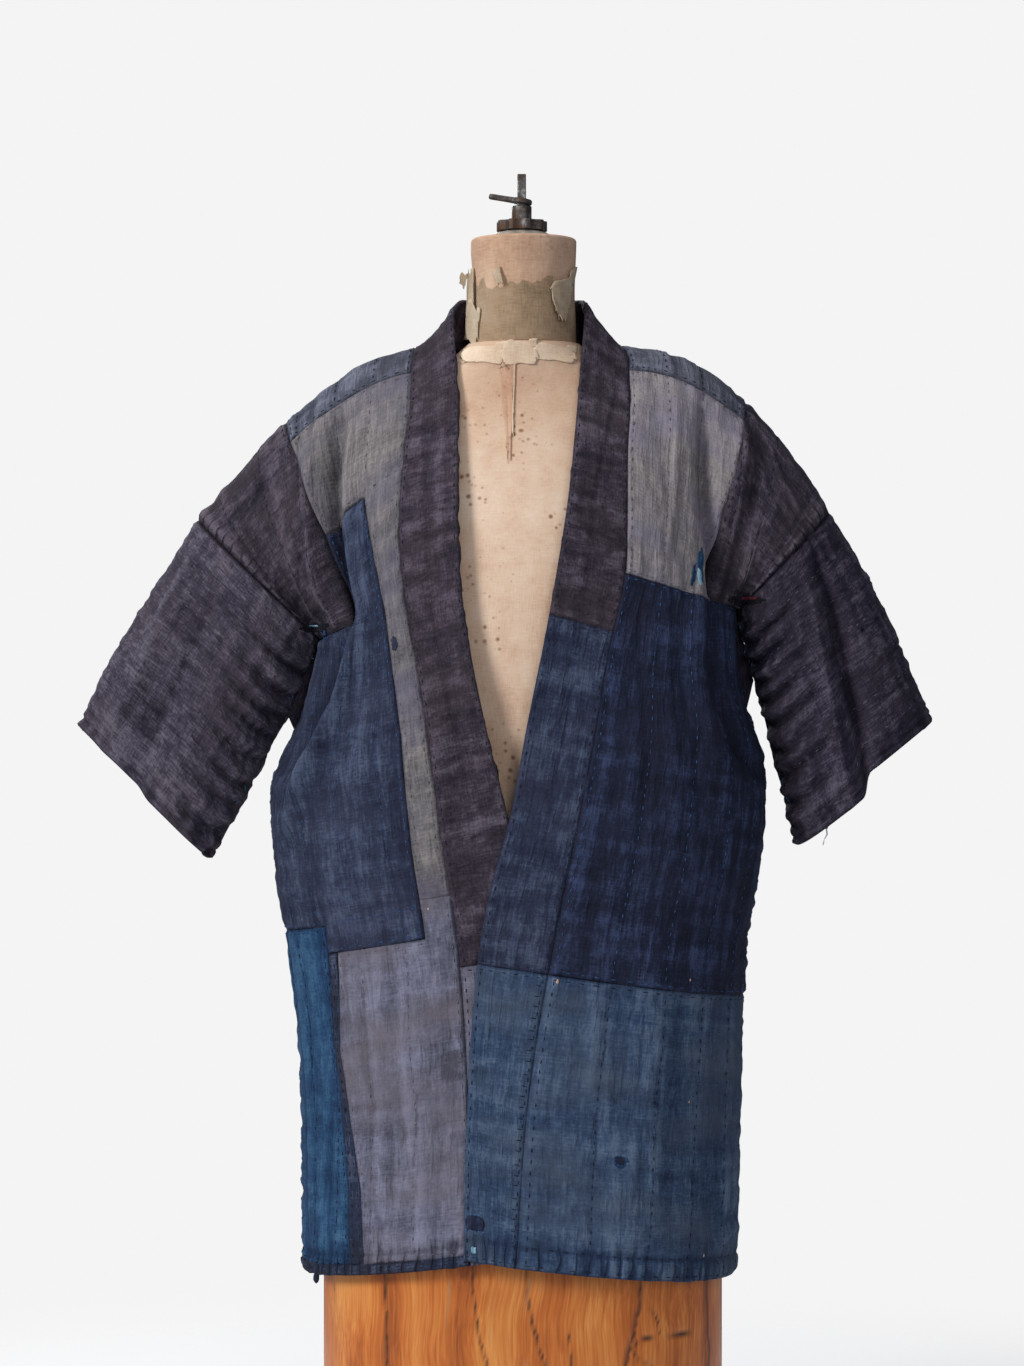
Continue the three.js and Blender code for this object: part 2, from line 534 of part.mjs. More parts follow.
/** Fronts and backs of both sides, cut as the patchwork shows. */
function bodyPieces() {
  const { seam, strip, cap, trim, side } = COL;
  const R = ROW;
  const piece = (name, which, areas, colour) => sidePiece(name, which, areas, CLOTH_WALL, colour);
  return [
    piece("front_left_skirt", "left", [[R.hem, R.leftWaist, seam, side]], COLOUR.steel),
    piece("front_left_chest", "left", [[R.leftWaist, R.armpit, seam, side]], COLOUR.indigo),
    piece("front_left_shoulder", "left", [[R.armpit, R.shoulder, seam, cap]], COLOUR.taupe),
    piece("cap_left", "left", [[R.armpit, R.backArmpit, cap, side]], COLOUR.plum),
    piece("yoke_left", "left", [[R.shoulder, R.yokeFoot, seam, cap]], COLOUR.yoke),
    piece("back_left_main", "left", [
      [R.yokeFoot, R.backArmpit, seam, cap], [R.backArmpit, R.backWaist, seam, side],
    ], COLOUR.indigo),
    piece("back_left_lower", "left", [[R.backWaist, R.backHem, seam, side]], COLOUR.steel),
    piece("front_right_binding", "right", [[R.hem, R.binding, seam, side]], COLOUR.navy),
    piece("front_right_skirt", "right", [
      [R.binding, R.patchFoot, strip, cap], [R.binding, R.stripFoot, seam, strip],
    ], COLOUR.lavender),
    piece("front_right_trim", "right", [[R.binding, R.patchFoot, cap, trim]], COLOUR.navy),
    piece("front_right_side", "right", [[R.binding, R.sideTop, trim, side]], COLOUR.blue),
    piece("front_right_chest", "right", [
      [R.patchFoot, R.sideTop, strip, trim], [R.sideTop, R.armpit, strip, side],
      [R.armpit, R.patchTop, strip, cap],
    ], COLOUR.indigo),
    piece("front_right_shoulder", "right", [
      [R.stripFoot, R.patchTop, seam, strip], [R.patchTop, R.shoulder, seam, cap],
    ], COLOUR.taupe),
    piece("cap_right", "right", [[R.armpit, R.backArmpit, cap, side]], COLOUR.plum),
    piece("yoke_right", "right", [[R.shoulder, R.yokeFoot, seam, cap]], COLOUR.yoke),
    piece("back_right_main", "right", [
      [R.yokeFoot, R.backArmpit, seam, cap], [R.backArmpit, R.backPatch, seam, side],
    ], COLOUR.slate),
    piece("back_right_patch", "right", [[R.backPatch, R.backWaist, seam, side]], COLOUR.indigo),
    piece("back_right_lower", "right", [[R.backWaist, R.backHem, seam, side]], COLOUR.lavender),
  ];
}

/** The neck band: one long plum piece round the neck, and three shorter ones that finish its ends. */
function bandPieces() {
  const { edge, seam } = COL;
  const round = [
    ...rowsBetween("left", ROW.bandJoin, ROW.neckBack),
    ...rowsBetween("right", ROW.bandEnd, ROW.neckBack).slice(1),
  ];
  const lower = (name, side, from, to, colour) => (
    sidePiece(name, side, [[from, to, edge, seam]], BAND_WALL, colour));
  return [
    clothPiece("band_collar", round, [[ROW.hem, ROW.backHem, edge, seam]], BAND_WALL, COLOUR.plum),
    lower("band_left_middle", "left", ROW.leftWaist, ROW.bandJoin, COLOUR.indigo),
    lower("band_left_lower", "left", ROW.hem, ROW.leftWaist, COLOUR.steel),
    lower("band_right_lower", "right", ROW.hem, ROW.bandEnd, COLOUR.lavender),
  ];
}

/** Closed solid through level rings of points, with a flat face at each end. */
function loftGeometry(rings) {
  const sides = rings[0].length;
  const positions = rings.flat().flatMap((point) => point.toArray());
  const faces = [];
  for (let i = 0; i + 1 < rings.length; i++) {
    for (let j = 0; j < sides; j++) {
      const next = (j + 1) % sides;
      const [a, b] = [i * sides + j, i * sides + next];
      faces.push(a, b, b + sides, a, b + sides, a + sides);
    }
  }
  const top = (rings.length - 1) * sides;
  for (let j = 1; j + 1 < sides; j++) {
    faces.push(0, j + 1, j, top, top + j, top + j + 1);
  }
  const geometry = new THREE.BufferGeometry();
  geometry.setAttribute("position", new THREE.Float32BufferAttribute(positions, 3));
  geometry.setIndex(faces);
  geometry.computeVertexNormals();
  return geometry;
}

/** Level ring: superellipse of the given half sizes about x, at a height. */
function levelRing(x, z, halfWidth, halfDepth, exponent, sides) {
  const ring = [];
  for (let j = 0; j < sides; j++) {
    const turn = (2 * Math.PI * j) / sides;
    const power = 2 / exponent;
    ring.push(new THREE.Vector3(
      x + halfWidth * signedPower(Math.cos(turn), power),
      halfDepth * signedPower(Math.sin(turn), power),
      z,
    ));
  }
  return ring;
}

// Dress form from the stump up to the neck joint: smooth and plain, with no limbs.
const FORM = table(["z", "halfWidth", "halfDepth", "x"], [
  [450, 166, 106, 1],
  [520, 158, 101, 1],
  [600, 146, 96, 1],
  [665, 144, 95, 1],
  [740, 151, 99, 1],
  [815, 158, 103, 1],
  [880, 163, 101, 1.5],
  [930, 166, 94, 2],
  [970, 162, 83, 2],
  [1005, 148, 69, 2.5],
  [1035, 122, 56, 3],
  [1055, 94, 50, 3],
  [1072, 68, 48, 3.5],
  [NECK.bottom - FACE_GAP, 52, 48.5, 3.5],
]);
const FORM_SIDES = 36;

function formTorso() {
  const foot = FORM.z[0] + FACE_GAP;
  const rings = FORM.z.map((z, i) => {
    const height = i === 0 ? foot : z;
    return levelRing(FORM.x[i], height, FORM.halfWidth[i], FORM.halfDepth[i], 2.15, FORM_SIDES);
  });
  return mesh("form_torso", loftGeometry(rings), COLOUR.buff, 0.8);
}

function formNeck() {
  const radii = table(["z", "radius"], [
    [NECK.bottom, NECK.radius], [NECK.bottom + 30, NECK.radius - 1], [NECK.top - 30, NECK.radius],
    [NECK.top - 3, NECK.radius + 1], [NECK.top, NECK.radius - 1.5],
  ]);
  const rings = radii.z.map((z, i) => levelRing(NECK.x, z, radii.radius[i], radii.radius[i], 2, NECK.sides));
  return mesh("form_neck", loftGeometry(rings), COLOUR.linen, 0.9);
}

/** Fittings on the neck: cap, notched collar, boss, clamp lever and the rod that they hold. */
function formFittings() {
  const domeFoot = NECK.top + FACE_GAP;
  const collarFoot = domeFoot + DOME.height + FACE_GAP;
  const bossFoot = collarFoot + COLLAR.height + FACE_GAP;
  const rodFoot = bossFoot + BOSS.height + FACE_GAP;
  const upright = (geometry) => geometry.rotateX(Math.PI / 2);

  const dome = new THREE.LatheGeometry([
    new THREE.Vector2(0, 0), new THREE.Vector2(DOME.radius, 0),
    new THREE.Vector2(DOME.radius, DOME.height * 0.3),
    new THREE.Vector2(DOME.radius * 0.8, DOME.height * 0.8),
    new THREE.Vector2(DOME.radius * 0.6, DOME.height), new THREE.Vector2(0, DOME.height),
  ], 28);
  const cap = mesh("fitting_cap", upright(dome), COLOUR.iron, 0.5, 0.85);
  cap.position.set(FITTING_X, 0, domeFoot);

  const outline = new THREE.Shape();
  const steps = COLLAR.notches * 4;
  for (let i = 0; i < steps; i++) {
    const turn = (2 * Math.PI * i) / steps;
    const radius = COLLAR.radius - (i % 4 < 2 ? 0 : COLLAR.notch);
    const [x, y] = [radius * Math.cos(turn), radius * Math.sin(turn)];
    if (i === 0) outline.moveTo(x, y);
    else outline.lineTo(x, y);
  }
  outline.closePath();
  const collarShape = new THREE.ExtrudeGeometry(outline, { depth: COLLAR.height, bevelEnabled: false });
  const collar = mesh("fitting_collar", collarShape, COLOUR.iron, 0.5, 0.85);
  collar.position.set(FITTING_X, 0, collarFoot);

  const bossShape = new THREE.CylinderGeometry(BOSS.radius, BOSS.radius, BOSS.height, BOSS.sides);
  const boss = mesh("fitting_boss", upright(bossShape), COLOUR.iron, 0.5, 0.85);
  boss.position.set(FITTING_X, 0, bossFoot + BOSS.height / 2);

  const plan = new THREE.Shape();
  const half = LEVER.width / 2;
  const neck = Math.asin(half / LEVER.ring);
  plan.absarc(0, 0, LEVER.ring, -Math.PI + neck, Math.PI - neck, false);
  plan.absarc(-LEVER.reach + half, 0, half, Math.PI / 2, (3 * Math.PI) / 2, false);
  plan.closePath();
  const bore = new THREE.Path();
  bore.absarc(0, 0, LEVER.hole, 0, 2 * Math.PI, true);
  plan.holes.push(bore);
  const leverShape = new THREE.ExtrudeGeometry(plan, {
    depth: LEVER.thick, bevelEnabled: false, curveSegments: 8,
  });
  const lever = mesh("fitting_lever", leverShape, COLOUR.iron, 0.5, 0.85);
  lever.position.set(FITTING_X, 0, rodFoot + LEVER.ring * Math.sin(LEVER.tilt));
  lever.rotation.y = LEVER.tilt;

  const rod = mesh("fitting_rod", new THREE.BoxGeometry(ROD.side, ROD.side, ROD.length), COLOUR.iron, 0.45, 0.9);
  rod.position.set(FITTING_X, 0, rodFoot + ROD.length / 2);
  return [cap, collar, boss, lever, rod];
}

/** Stump under the form: an oval trunk with a slow swell, rounded edges and a flat foot. */
function stump() {
  const profile = table(["z", "inset"], [
    [0, STUMP.edge], [STUMP.edge, 0], [STUMP.height * 0.35, 1.5], [STUMP.height * 0.7, 1],
    [STUMP.height - STUMP.edge, 0], [STUMP.height, STUMP.edge],
  ]);
  const sides = 48;
  const rings = profile.z.map((z, i) => {
    const inset = profile.inset[i];
    const ring = levelRing(STUMP.x, z, STUMP.halfWidth - inset, STUMP.halfDepth - inset, 2.2, sides);
    return ring.map((point, j) => {
      const swell = STUMP.lobeDepth * Math.sin((2 * Math.PI * STUMP.lobes * j) / sides);
      const fromAxis = new THREE.Vector3(point.x - STUMP.x, point.y, 0).normalize();
      return point.addScaledVector(fromAxis, swell - STUMP.lobeDepth);
    });
  });
  return mesh("stump", loftGeometry(rings), COLOUR.wood, 0.45);
}

const jacket = new THREE.Group();
jacket.add(...bodyPieces(), ...bandPieces());
jacket.add(sleeve("left", COLOUR.plumSleeve), sleeve("right", COLOUR.plumSleeve));

const dressForm = new THREE.Group();
dressForm.add(formTorso(), formNeck(), ...formFittings(), stump());

const part = new THREE.Group();
part.add(jacket, dressForm);

export default part;
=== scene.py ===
"""Boro noragi jacket on a limbless dress form: the looks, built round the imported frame.

The jacket's front faces -Y, the wearer's left is +X, and the origin is under the stump.
Tables and cloth sizes are in millimetres, as a tailor notes them, and meshes are in metres.
A point of the cloth has two coordinates:
    along   millimetres from the front hem, over the shoulder, to the back hem
    across  0 at the seam with the neck band, 1 at the side or the sleeve seam,
            -1 at the free edge of the neck band, 2 at the cuff of the sleeve
"""

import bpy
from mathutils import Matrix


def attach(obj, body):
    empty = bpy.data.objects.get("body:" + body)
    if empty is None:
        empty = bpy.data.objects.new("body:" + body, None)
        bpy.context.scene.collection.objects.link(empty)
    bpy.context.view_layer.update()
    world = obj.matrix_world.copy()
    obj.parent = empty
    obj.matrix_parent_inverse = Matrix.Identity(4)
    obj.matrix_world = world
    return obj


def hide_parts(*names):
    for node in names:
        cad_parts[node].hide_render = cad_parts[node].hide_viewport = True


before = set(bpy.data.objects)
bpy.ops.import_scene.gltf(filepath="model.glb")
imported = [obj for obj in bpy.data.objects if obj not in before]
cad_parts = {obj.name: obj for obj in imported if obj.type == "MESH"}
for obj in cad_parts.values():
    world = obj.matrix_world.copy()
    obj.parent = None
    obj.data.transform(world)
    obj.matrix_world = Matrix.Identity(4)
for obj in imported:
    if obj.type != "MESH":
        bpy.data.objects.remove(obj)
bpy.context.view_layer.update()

import itertools
import logging
import math
from dataclasses import dataclass, field
from enum import Enum
from typing import Callable, Iterable, Optional

import bmesh
import bpy
import numpy as np
from mathutils import Matrix, Vector
from mathutils.bvhtree import BVHTree
from mathutils.kdtree import KDTree

log = logging.getLogger("noragi")

MM = 0.001
ROOT = "root"

# Sizes of the cloth in millimetres, except: SIDE_SHIFT, how far apart the two sides lie on the
# cloth map, is in metres; angles, turns and slit starts are in radians; drops and openings of the
# sleeve are in its across coordinate.
CLOTH_WALL = 2.2
BAND_WALL = 4.5
CLOTH_LENGTH = 860.0
SIDE_SHIFT = 5.0
BODY_ROUNDNESS = 2.25
BODY_SPAN = 225.0
SLEEVE_SPAN = 250.0
FOLD_SPAN_SLEEVE = 200.0
BAND_SPAN = 60.0
LATTICE_STEP = 2.8
EDGE_FADE = 6.0
HEM_GATHER = 12.0
HEM_TUCK = 34.0
HEM_LINE = 19.0
CUFF_LINE = 7.5
ARMHOLE_ROLL = 7.0
DROP_HEIGHT = 9.0
FRONT_START = -400.0
RIDGE_SHARPNESS = 2.0
TROUGH_SHARPNESS = 1.35
CUFF_DROP = 0.085
CUFF_LOW_TURN = 0.35
CUFF_STEP_ANGLE = 1.5
CUFF_STEP_FRONT = 0.2
CUFF_STEP_BACK = 1.2
SLIT_OPENING = 0.05
SLIT_START = 2.6
SLIT_BLEND = 0.3
ARMHOLE_BLEND = 0.5
ARMPIT_TURN = 0.7


class Side(Enum):
    """The wearer's side, with the sign of its x."""

    LEFT = 1
    RIGHT = -1


class Weave(Enum):
    """Where a cloth lies, which decides how it wrinkles and how it was quilted."""

    BODY = "body"
    SLEEVE = "sleeve"
    BAND = "band"


# ---------------------------------------------------------------- curves and noise


def ease(value: np.ndarray) -> np.ndarray:
    """Smooth step from 0 to 1."""
    q = np.clip(value, 0.0, 1.0)
    return q * q * (3.0 - 2.0 * q)


def signed_power(value: np.ndarray, power: float) -> np.ndarray:
    """Power that keeps the sign."""
    return np.sign(value) * np.abs(value) ** power


def noise(points: np.ndarray, seed: int) -> np.ndarray:
    """Smooth value noise from -1 to 1.

    Args:
        points: One row each, measured in noise cells.
        seed: Chooses the pattern.

    Returns:
        One value for each row.
    """
    weights_by_axis = np.array([127.1, 311.7, 74.7])[: points.shape[1]]
    cell = np.floor(points)
    part = ease(points - cell)
    total = np.zeros(len(points))
    for corner in itertools.product((0, 1), repeat=points.shape[1]):
        offset = np.array(corner)
        weight = np.prod(np.where(offset, part, 1.0 - part), axis=1)
        value = np.sin((cell + offset) @ weights_by_axis + seed * 17.17) * 43758.5453
        total += weight * (2.0 * (value - np.floor(value)) - 1.0)
    return total


def ripple(u: np.ndarray, v: np.ndarray, cell_u: float, cell_v: float, seed: int) -> np.ndarray:
    """Noise over the flat cloth, in cells of cell_u by cell_v millimetres."""
    return noise(np.column_stack([u / cell_u, v / cell_v]), seed)


def soft_line(distance: np.ndarray, width: float) -> np.ndarray:
    """1 on a line, fading out over its width."""
    return np.exp(-((distance / width) ** 2))


def from_lines(place: np.ndarray, pitch: float) -> np.ndarray:
    """Distance to the nearest of the lines that repeat at a pitch."""
    return np.abs(place / pitch - np.rint(place / pitch)) * pitch


@dataclass(frozen=True)
class Table:
    """Rows of numbers under named columns. The first column is the key."""

    columns: tuple[str, ...]
    rows: tuple[tuple[float, ...], ...]

    def column(self, name: str) -> np.ndarray:
        """Values of one column."""
        place = self.columns.index(name)
        return np.array([row[place] for row in self.rows], float)

    def line(self, name: str, key: np.ndarray) -> np.ndarray:
        """Straight lines through a column."""
        return np.interp(key, self.column(self.columns[0]), self.column(name))

    def curve(self, name: str, key: np.ndarray) -> np.ndarray:
        """Smooth curve through a column with no overshoot, straight beyond its ends.

        Args:
            name: The column.
            key: Where the curve is read.

        Returns:
            One value for each key.
        """
        keys = self.column(self.columns[0])
        values = self.column(name)
        gaps = np.diff(keys)
        slopes = np.diff(values) / gaps
        before, after = gaps[:-1], gaps[1:]
        inner = (slopes[:-1] * after + slopes[1:] * before) / (before + after)
        inner = np.where(slopes[:-1] * slopes[1:] <= 0.0, 0.0, inner)
        tangents = np.concatenate([slopes[:1], inner, slopes[-1:]])
        i = np.clip(np.searchsorted(keys, key) - 1, 0, len(keys) - 2)
        span = gaps[i]
        q = np.clip((key - keys[i]) / span, 0.0, 1.0)
        q2 = q * q
        q3 = q2 * q
        inside = (
            values[i] * (2 * q3 - 3 * q2 + 1)
            + tangents[i] * span * (q3 - 2 * q2 + q)
            + values[i + 1] * (3 * q2 - 2 * q3)
            + tangents[i + 1] * span * (q3 - q2)
        )
        below = tangents[0] * np.minimum(key - keys[0], 0.0)
        above = tangents[-1] * np.maximum(key - keys[-1], 0.0)
        return inside + below + above


# ---------------------------------------------------------------- the cut

ROW = {
    "hem": 0.0, "binding": 10.0, "left_waist": 252.0, "band_end": 267.0, "patch_foot": 297.0,
    "side_top": 322.0, "strip_foot": 332.0, "band_join": 548.0, "armpit": 600.0, "patch_top": 712.0,
    "shoulder": 812.0, "neck_back": 940.0, "yoke_foot": 1000.0, "back_armpit": 1120.0,
    "back_patch": 1300.0, "back_waist": 1470.0, "back_hem": 1720.0,
}
COLUMN = {"edge": -3.0, "seam": 0.0, "strip": 2.0, "cap": 6.0, "trim": 7.0, "side": 14.0, "cuff": 24.0}

SECTION_COLUMNS = ("along", "seamX", "seamZ", "edgeX", "edgeZ", "sideX", "sideZ", "depth")


def back_sections(armpit_x: float, armpit_z: float) -> tuple[tuple[float, ...], ...]:
    """Sections round the back of the neck and down the blades."""
    return (
        (895, 70, 1084, 56, 1130, armpit_x, armpit_z, 125),
        (920, 46, 1081, 39, 1131, armpit_x, armpit_z, 130),
        (940, 0, 1076, 0, 1131, armpit_x, armpit_z, 134),
        (1000, 0, 1030, 0, 1080, armpit_x, armpit_z, 124),
        (1060, 0, 965, 0, 1010, armpit_x, armpit_z, 119),
        (1120, 0, 895, 0, 940, armpit_x, armpit_z, 119),
    )


SECTIONS = {
    Side.LEFT: Table(SECTION_COLUMNS, (
        (0, -4, 261, -50, 268, 197, 237, 150),
        (150, 8, 414, -46, 422, 202, 388, 144),
        (300, 34, 567, -30, 577, 209, 539, 138),
        (380, 51, 649, -8, 661, 221, 619, 133),
        (450, 65, 720, 5, 733, 225, 689, 127),
        (530, 79, 802, 22, 817, 204, 770, 122),
        (600, 94, 873, 35, 890, 198, 842, 119),
        (660, 96, 928, 43, 943, 198, 842, 118),
        (720, 97, 983, 49, 999, 198, 842, 118),
        (780, 100, 1035, 54, 1054, 198, 842, 118),
        (825, 100, 1069, 58, 1097, 198, 842, 118),
        (860, 91, 1084, 60, 1124, 198, 842, 118),
        *back_sections(198, 842),
        (1190, 0, 820, 0, 0, 204, 770, 120),
        (1270, 0, 735, 0, 0, 225, 689, 120),
        (1340, 0, 655, 0, 0, 221, 619, 122),
        (1420, 0, 570, 0, 0, 209, 539, 126),
        (1570, 0, 405, 0, 0, 202, 388, 134),
        (1720, 0, 244, 0, 0, 197, 237, 142),
    )),
    Side.RIGHT: Table(SECTION_COLUMNS, (
        (0, 44, 262, -7, 267, 200, 240, 141),
        (150, 46, 409, -9, 416, 200, 384, 135),
        (300, 57, 556, -6, 565, 211, 528, 129.5),
        (380, 70, 634, 9, 648, 225, 604, 125.5),
        (450, 79, 703, 26, 717, 229, 671, 122.5),
        (530, 91, 781, 43, 796, 200, 748, 120.5),
        (600, 103, 850, 53, 866, 182, 815, 118),
        (660, 109, 912, 56, 926, 182, 815, 118),
        (720, 106, 972, 56, 985, 182, 815, 118),
        (780, 100, 1030, 57, 1046, 182, 815, 118),
        (825, 99, 1067, 60, 1090, 182, 815, 118),
        (860, 94, 1084, 62, 1114, 182, 815, 118),
        *back_sections(182, 815),
        (1190, 0, 820, 0, 0, 200, 748, 120),
        (1270, 0, 735, 0, 0, 229, 671, 120),
        (1340, 0, 655, 0, 0, 225, 604, 122),
        (1420, 0, 570, 0, 0, 211, 528, 126),
        (1570, 0, 405, 0, 0, 200, 384, 134),
        (1720, 0, 244, 0, 0, 200, 240, 142),
    )),
}

SLEEVE_COLUMNS = ("across", "topX", "topZ", "underX", "underZ", "depth", "y")
SLEEVES = {
    Side.LEFT: Table(SLEEVE_COLUMNS, (
        (1, 285, 932, 198, 842, 60, 0),
        (1.5, 338, 837, 220, 757, 55, -2),
        (2, 382, 733, 247, 651, 46, -4),
    )),
    Side.RIGHT: Table(SLEEVE_COLUMNS, (
        (1, 297, 925, 182, 815, 54, 0),
        (1.5, 355, 833, 224, 726, 49, -2),
        (2, 408, 737, 273, 631, 42, -4),
    )),
}
SHOULDER_FALL = {Side.LEFT: 2.1, Side.RIGHT: 1.6}
CUFF_STEP = {Side.LEFT: 0.07, Side.RIGHT: 0.015}

PATH_COLUMNS = ("along", "across")
COLUMN_PATHS = {
    Side.LEFT: {
        "strip": Table(PATH_COLUMNS, ((0, 0.12), (1720, 0.12))),
        "cap": Table(PATH_COLUMNS, (
            (0, 0.42), (400, 0.5), (600, 0.56), (640, 0.515), (680, 0.495), (720, 0.49), (760, 0.525),
            (812, 0.57), (860, 0.6), (1000, 0.56), (1120, 0.5), (1300, 0.44), (1720, 0.42),
        )),
        "trim": Table(PATH_COLUMNS, ((0, 0.5), (600, 0.64), (720, 0.57), (860, 0.66), (1720, 0.5))),
    },
    Side.RIGHT: {
        "strip": Table(PATH_COLUMNS, (
            (0, 0.105), (300, 0.1), (480, 0.09), (572, 0.125), (640, 0.145), (712, 0.195), (812, 0.22),
            (1720, 0.16),
        )),
        "cap": Table(PATH_COLUMNS, (
            (0, 0.39), (80, 0.41), (148, 0.465), (208, 0.51), (297, 0.465), (400, 0.44), (600, 0.43),
            (660, 0.425), (712, 0.445), (766, 0.51), (812, 0.57), (860, 0.6), (1000, 0.56),
            (1120, 0.5), (1300, 0.44), (1720, 0.42),
        )),
        "trim": Table(PATH_COLUMNS, (
            (0, 0.465), (80, 0.475), (148, 0.51), (220, 0.55), (322, 0.51), (450, 0.52), (600, 0.51),
            (712, 0.52), (812, 0.64), (860, 0.66), (1120, 0.57), (1720, 0.5),
        )),
    },
}


@dataclass(frozen=True)
class Fold:
    """A soft ridge, or a trough where rise is negative, along a path of (across, along)."""

    side: Side
    rise: float
    half_width: float
    path: tuple[tuple[float, float], ...]

    def height(self, across: np.ndarray, along: np.ndarray) -> np.ndarray:
        """Height in millimetres, tapered at both ends of the path."""
        on_sleeve = self.path[0][0] > 1.0
        span = FOLD_SPAN_SLEEVE if on_sleeve else BODY_SPAN
        if self.path[0][0] < 0.0:
            span = BAND_SPAN
        height = np.zeros(len(across))
        reach = 3.0 * self.half_width
        rows = [point[1] for point in self.path]
        zone = across > 1.0 if on_sleeve else across <= 1.0
        zone &= (across < 0.0) == (self.path[0][0] < 0.0)
        near = zone & (along > min(rows) - reach) & (along < max(rows) + reach)
        u, v = across[near] * span, along[near]
        best = np.full(len(u), np.inf)
        travel_there = np.zeros(len(u))
        travel = 0.0
        for (a0, b0), (a1, b1) in zip(self.path, self.path[1:]):
            du, dv = (a1 - a0) * span, b1 - b0
            length = math.hypot(du, dv)
            pu, pv = u - a0 * span, v - b0
            q = np.clip((pu * du + pv * dv) / length ** 2, 0.0, 1.0)
            distance = np.hypot(pu - q * du, pv - q * dv)
            closer = distance < best
            best = np.where(closer, distance, best)
            travel_there = np.where(closer, travel + q * length, travel_there)
            travel += length
        from_middle = np.abs(2.0 * travel_there / travel - 1.0)
        sharpness = RIDGE_SHARPNESS if self.rise > 0.0 else TROUGH_SHARPNESS
        across_fold = np.exp(-((best / self.half_width) ** sharpness))
        height[near] = self.rise * (1.0 - from_middle ** 3) * across_fold
        return height


L, R = Side.LEFT, Side.RIGHT
FOLDS = [
    # right front: the fold at the arm, its roll, the cap that bulges past it, the pull to the hip
    Fold(R, -21, 11, ((0.3, 808), (0.365, 750), (0.385, 700), (0.4, 645), (0.405, 570))),
    Fold(R, 9, 13, ((0.44, 818), (0.5, 760), (0.53, 700), (0.56, 640))),
    Fold(R, 5, 9, ((0.22, 800), (0.29, 740), (0.31, 680), (0.32, 600))),
    Fold(R, 11, 22, ((0.7, 770), (0.68, 705), (0.65, 655))),
    Fold(R, 12, 15, ((0.3, 625), (0.38, 540), (0.54, 465), (0.8, 385))),
    Fold(R, -16, 20, ((0.46, 600), (0.6, 530), (0.84, 462))),
    # left front: the same, shallower
    Fold(L, -17, 10, ((0.36, 800), (0.375, 742), (0.41, 712), (0.485, 670), (0.56, 590))),
    Fold(L, 8, 13, ((0.57, 815), (0.55, 760), (0.52, 715))),
    Fold(L, 8, 20, ((0.78, 765), (0.755, 700), (0.73, 650))),
    Fold(L, -12, 12, ((0.56, 605), (0.54, 545), (0.62, 474), (0.84, 450))),
    Fold(L, 7, 15, ((0.43, 620), (0.42, 520), (0.5, 430))),
    # backs: the blade folds and the pull at the armhole
    Fold(R, -9, 14, ((0.45, 935), (0.43, 1010), (0.475, 1090), (0.6, 1150))),
    Fold(L, -8, 14, ((0.49, 930), (0.445, 1020), (0.5, 1100), (0.58, 1160))),
    Fold(R, 7, 18, ((0.72, 960), (0.66, 1040), (0.66, 1110))),
    Fold(L, 7, 18, ((0.75, 955), (0.67, 1050), (0.7, 1115))),
    # skirts: slow waves that hang to the hem
    Fold(R, 4, 20, ((0.27, 290), (0.24, 150), (0.22, -20))),
    Fold(R, -4, 17, ((0.62, 330), (0.6, 170), (0.58, -20))),
    Fold(L, 4, 20, ((0.3, 330), (0.33, 160), (0.35, -20))),
    Fold(L, -4, 18, ((0.66, 260), (0.64, 130), (0.62, -20))),
    Fold(R, 5, 22, ((0.4, 1290), (0.42, 1500), (0.4, 1740))),
    Fold(L, -5, 20, ((0.34, 1330), (0.36, 1520), (0.38, 1740))),
    Fold(L, 5, 22, ((0.7, 1300), (0.68, 1520), (0.7, 1740))),
    Fold(R, -4, 20, ((0.74, 1330), (0.72, 1520), (0.72, 1740))),
    # sleeves: one long roll down the front and one down the back
    Fold(L, 8, 6, ((1.05, 744), (1.5, 722), (2.1, 702))),
    Fold(L, -15, 9, ((1.05, 768), (1.5, 745), (2.1, 726))),
    Fold(R, 8, 11, ((1.05, 800), (1.5, 790), (2.1, 775))),
    Fold(R, -8, 12, ((1.05, 760), (1.5, 748), (2.1, 735))),
    Fold(L, 5, 14, ((1.05, 950), (1.5, 965), (2.1, 985))),
    Fold(R, 5, 14, ((1.05, 955), (1.5, 975), (2.1, 990))),
]

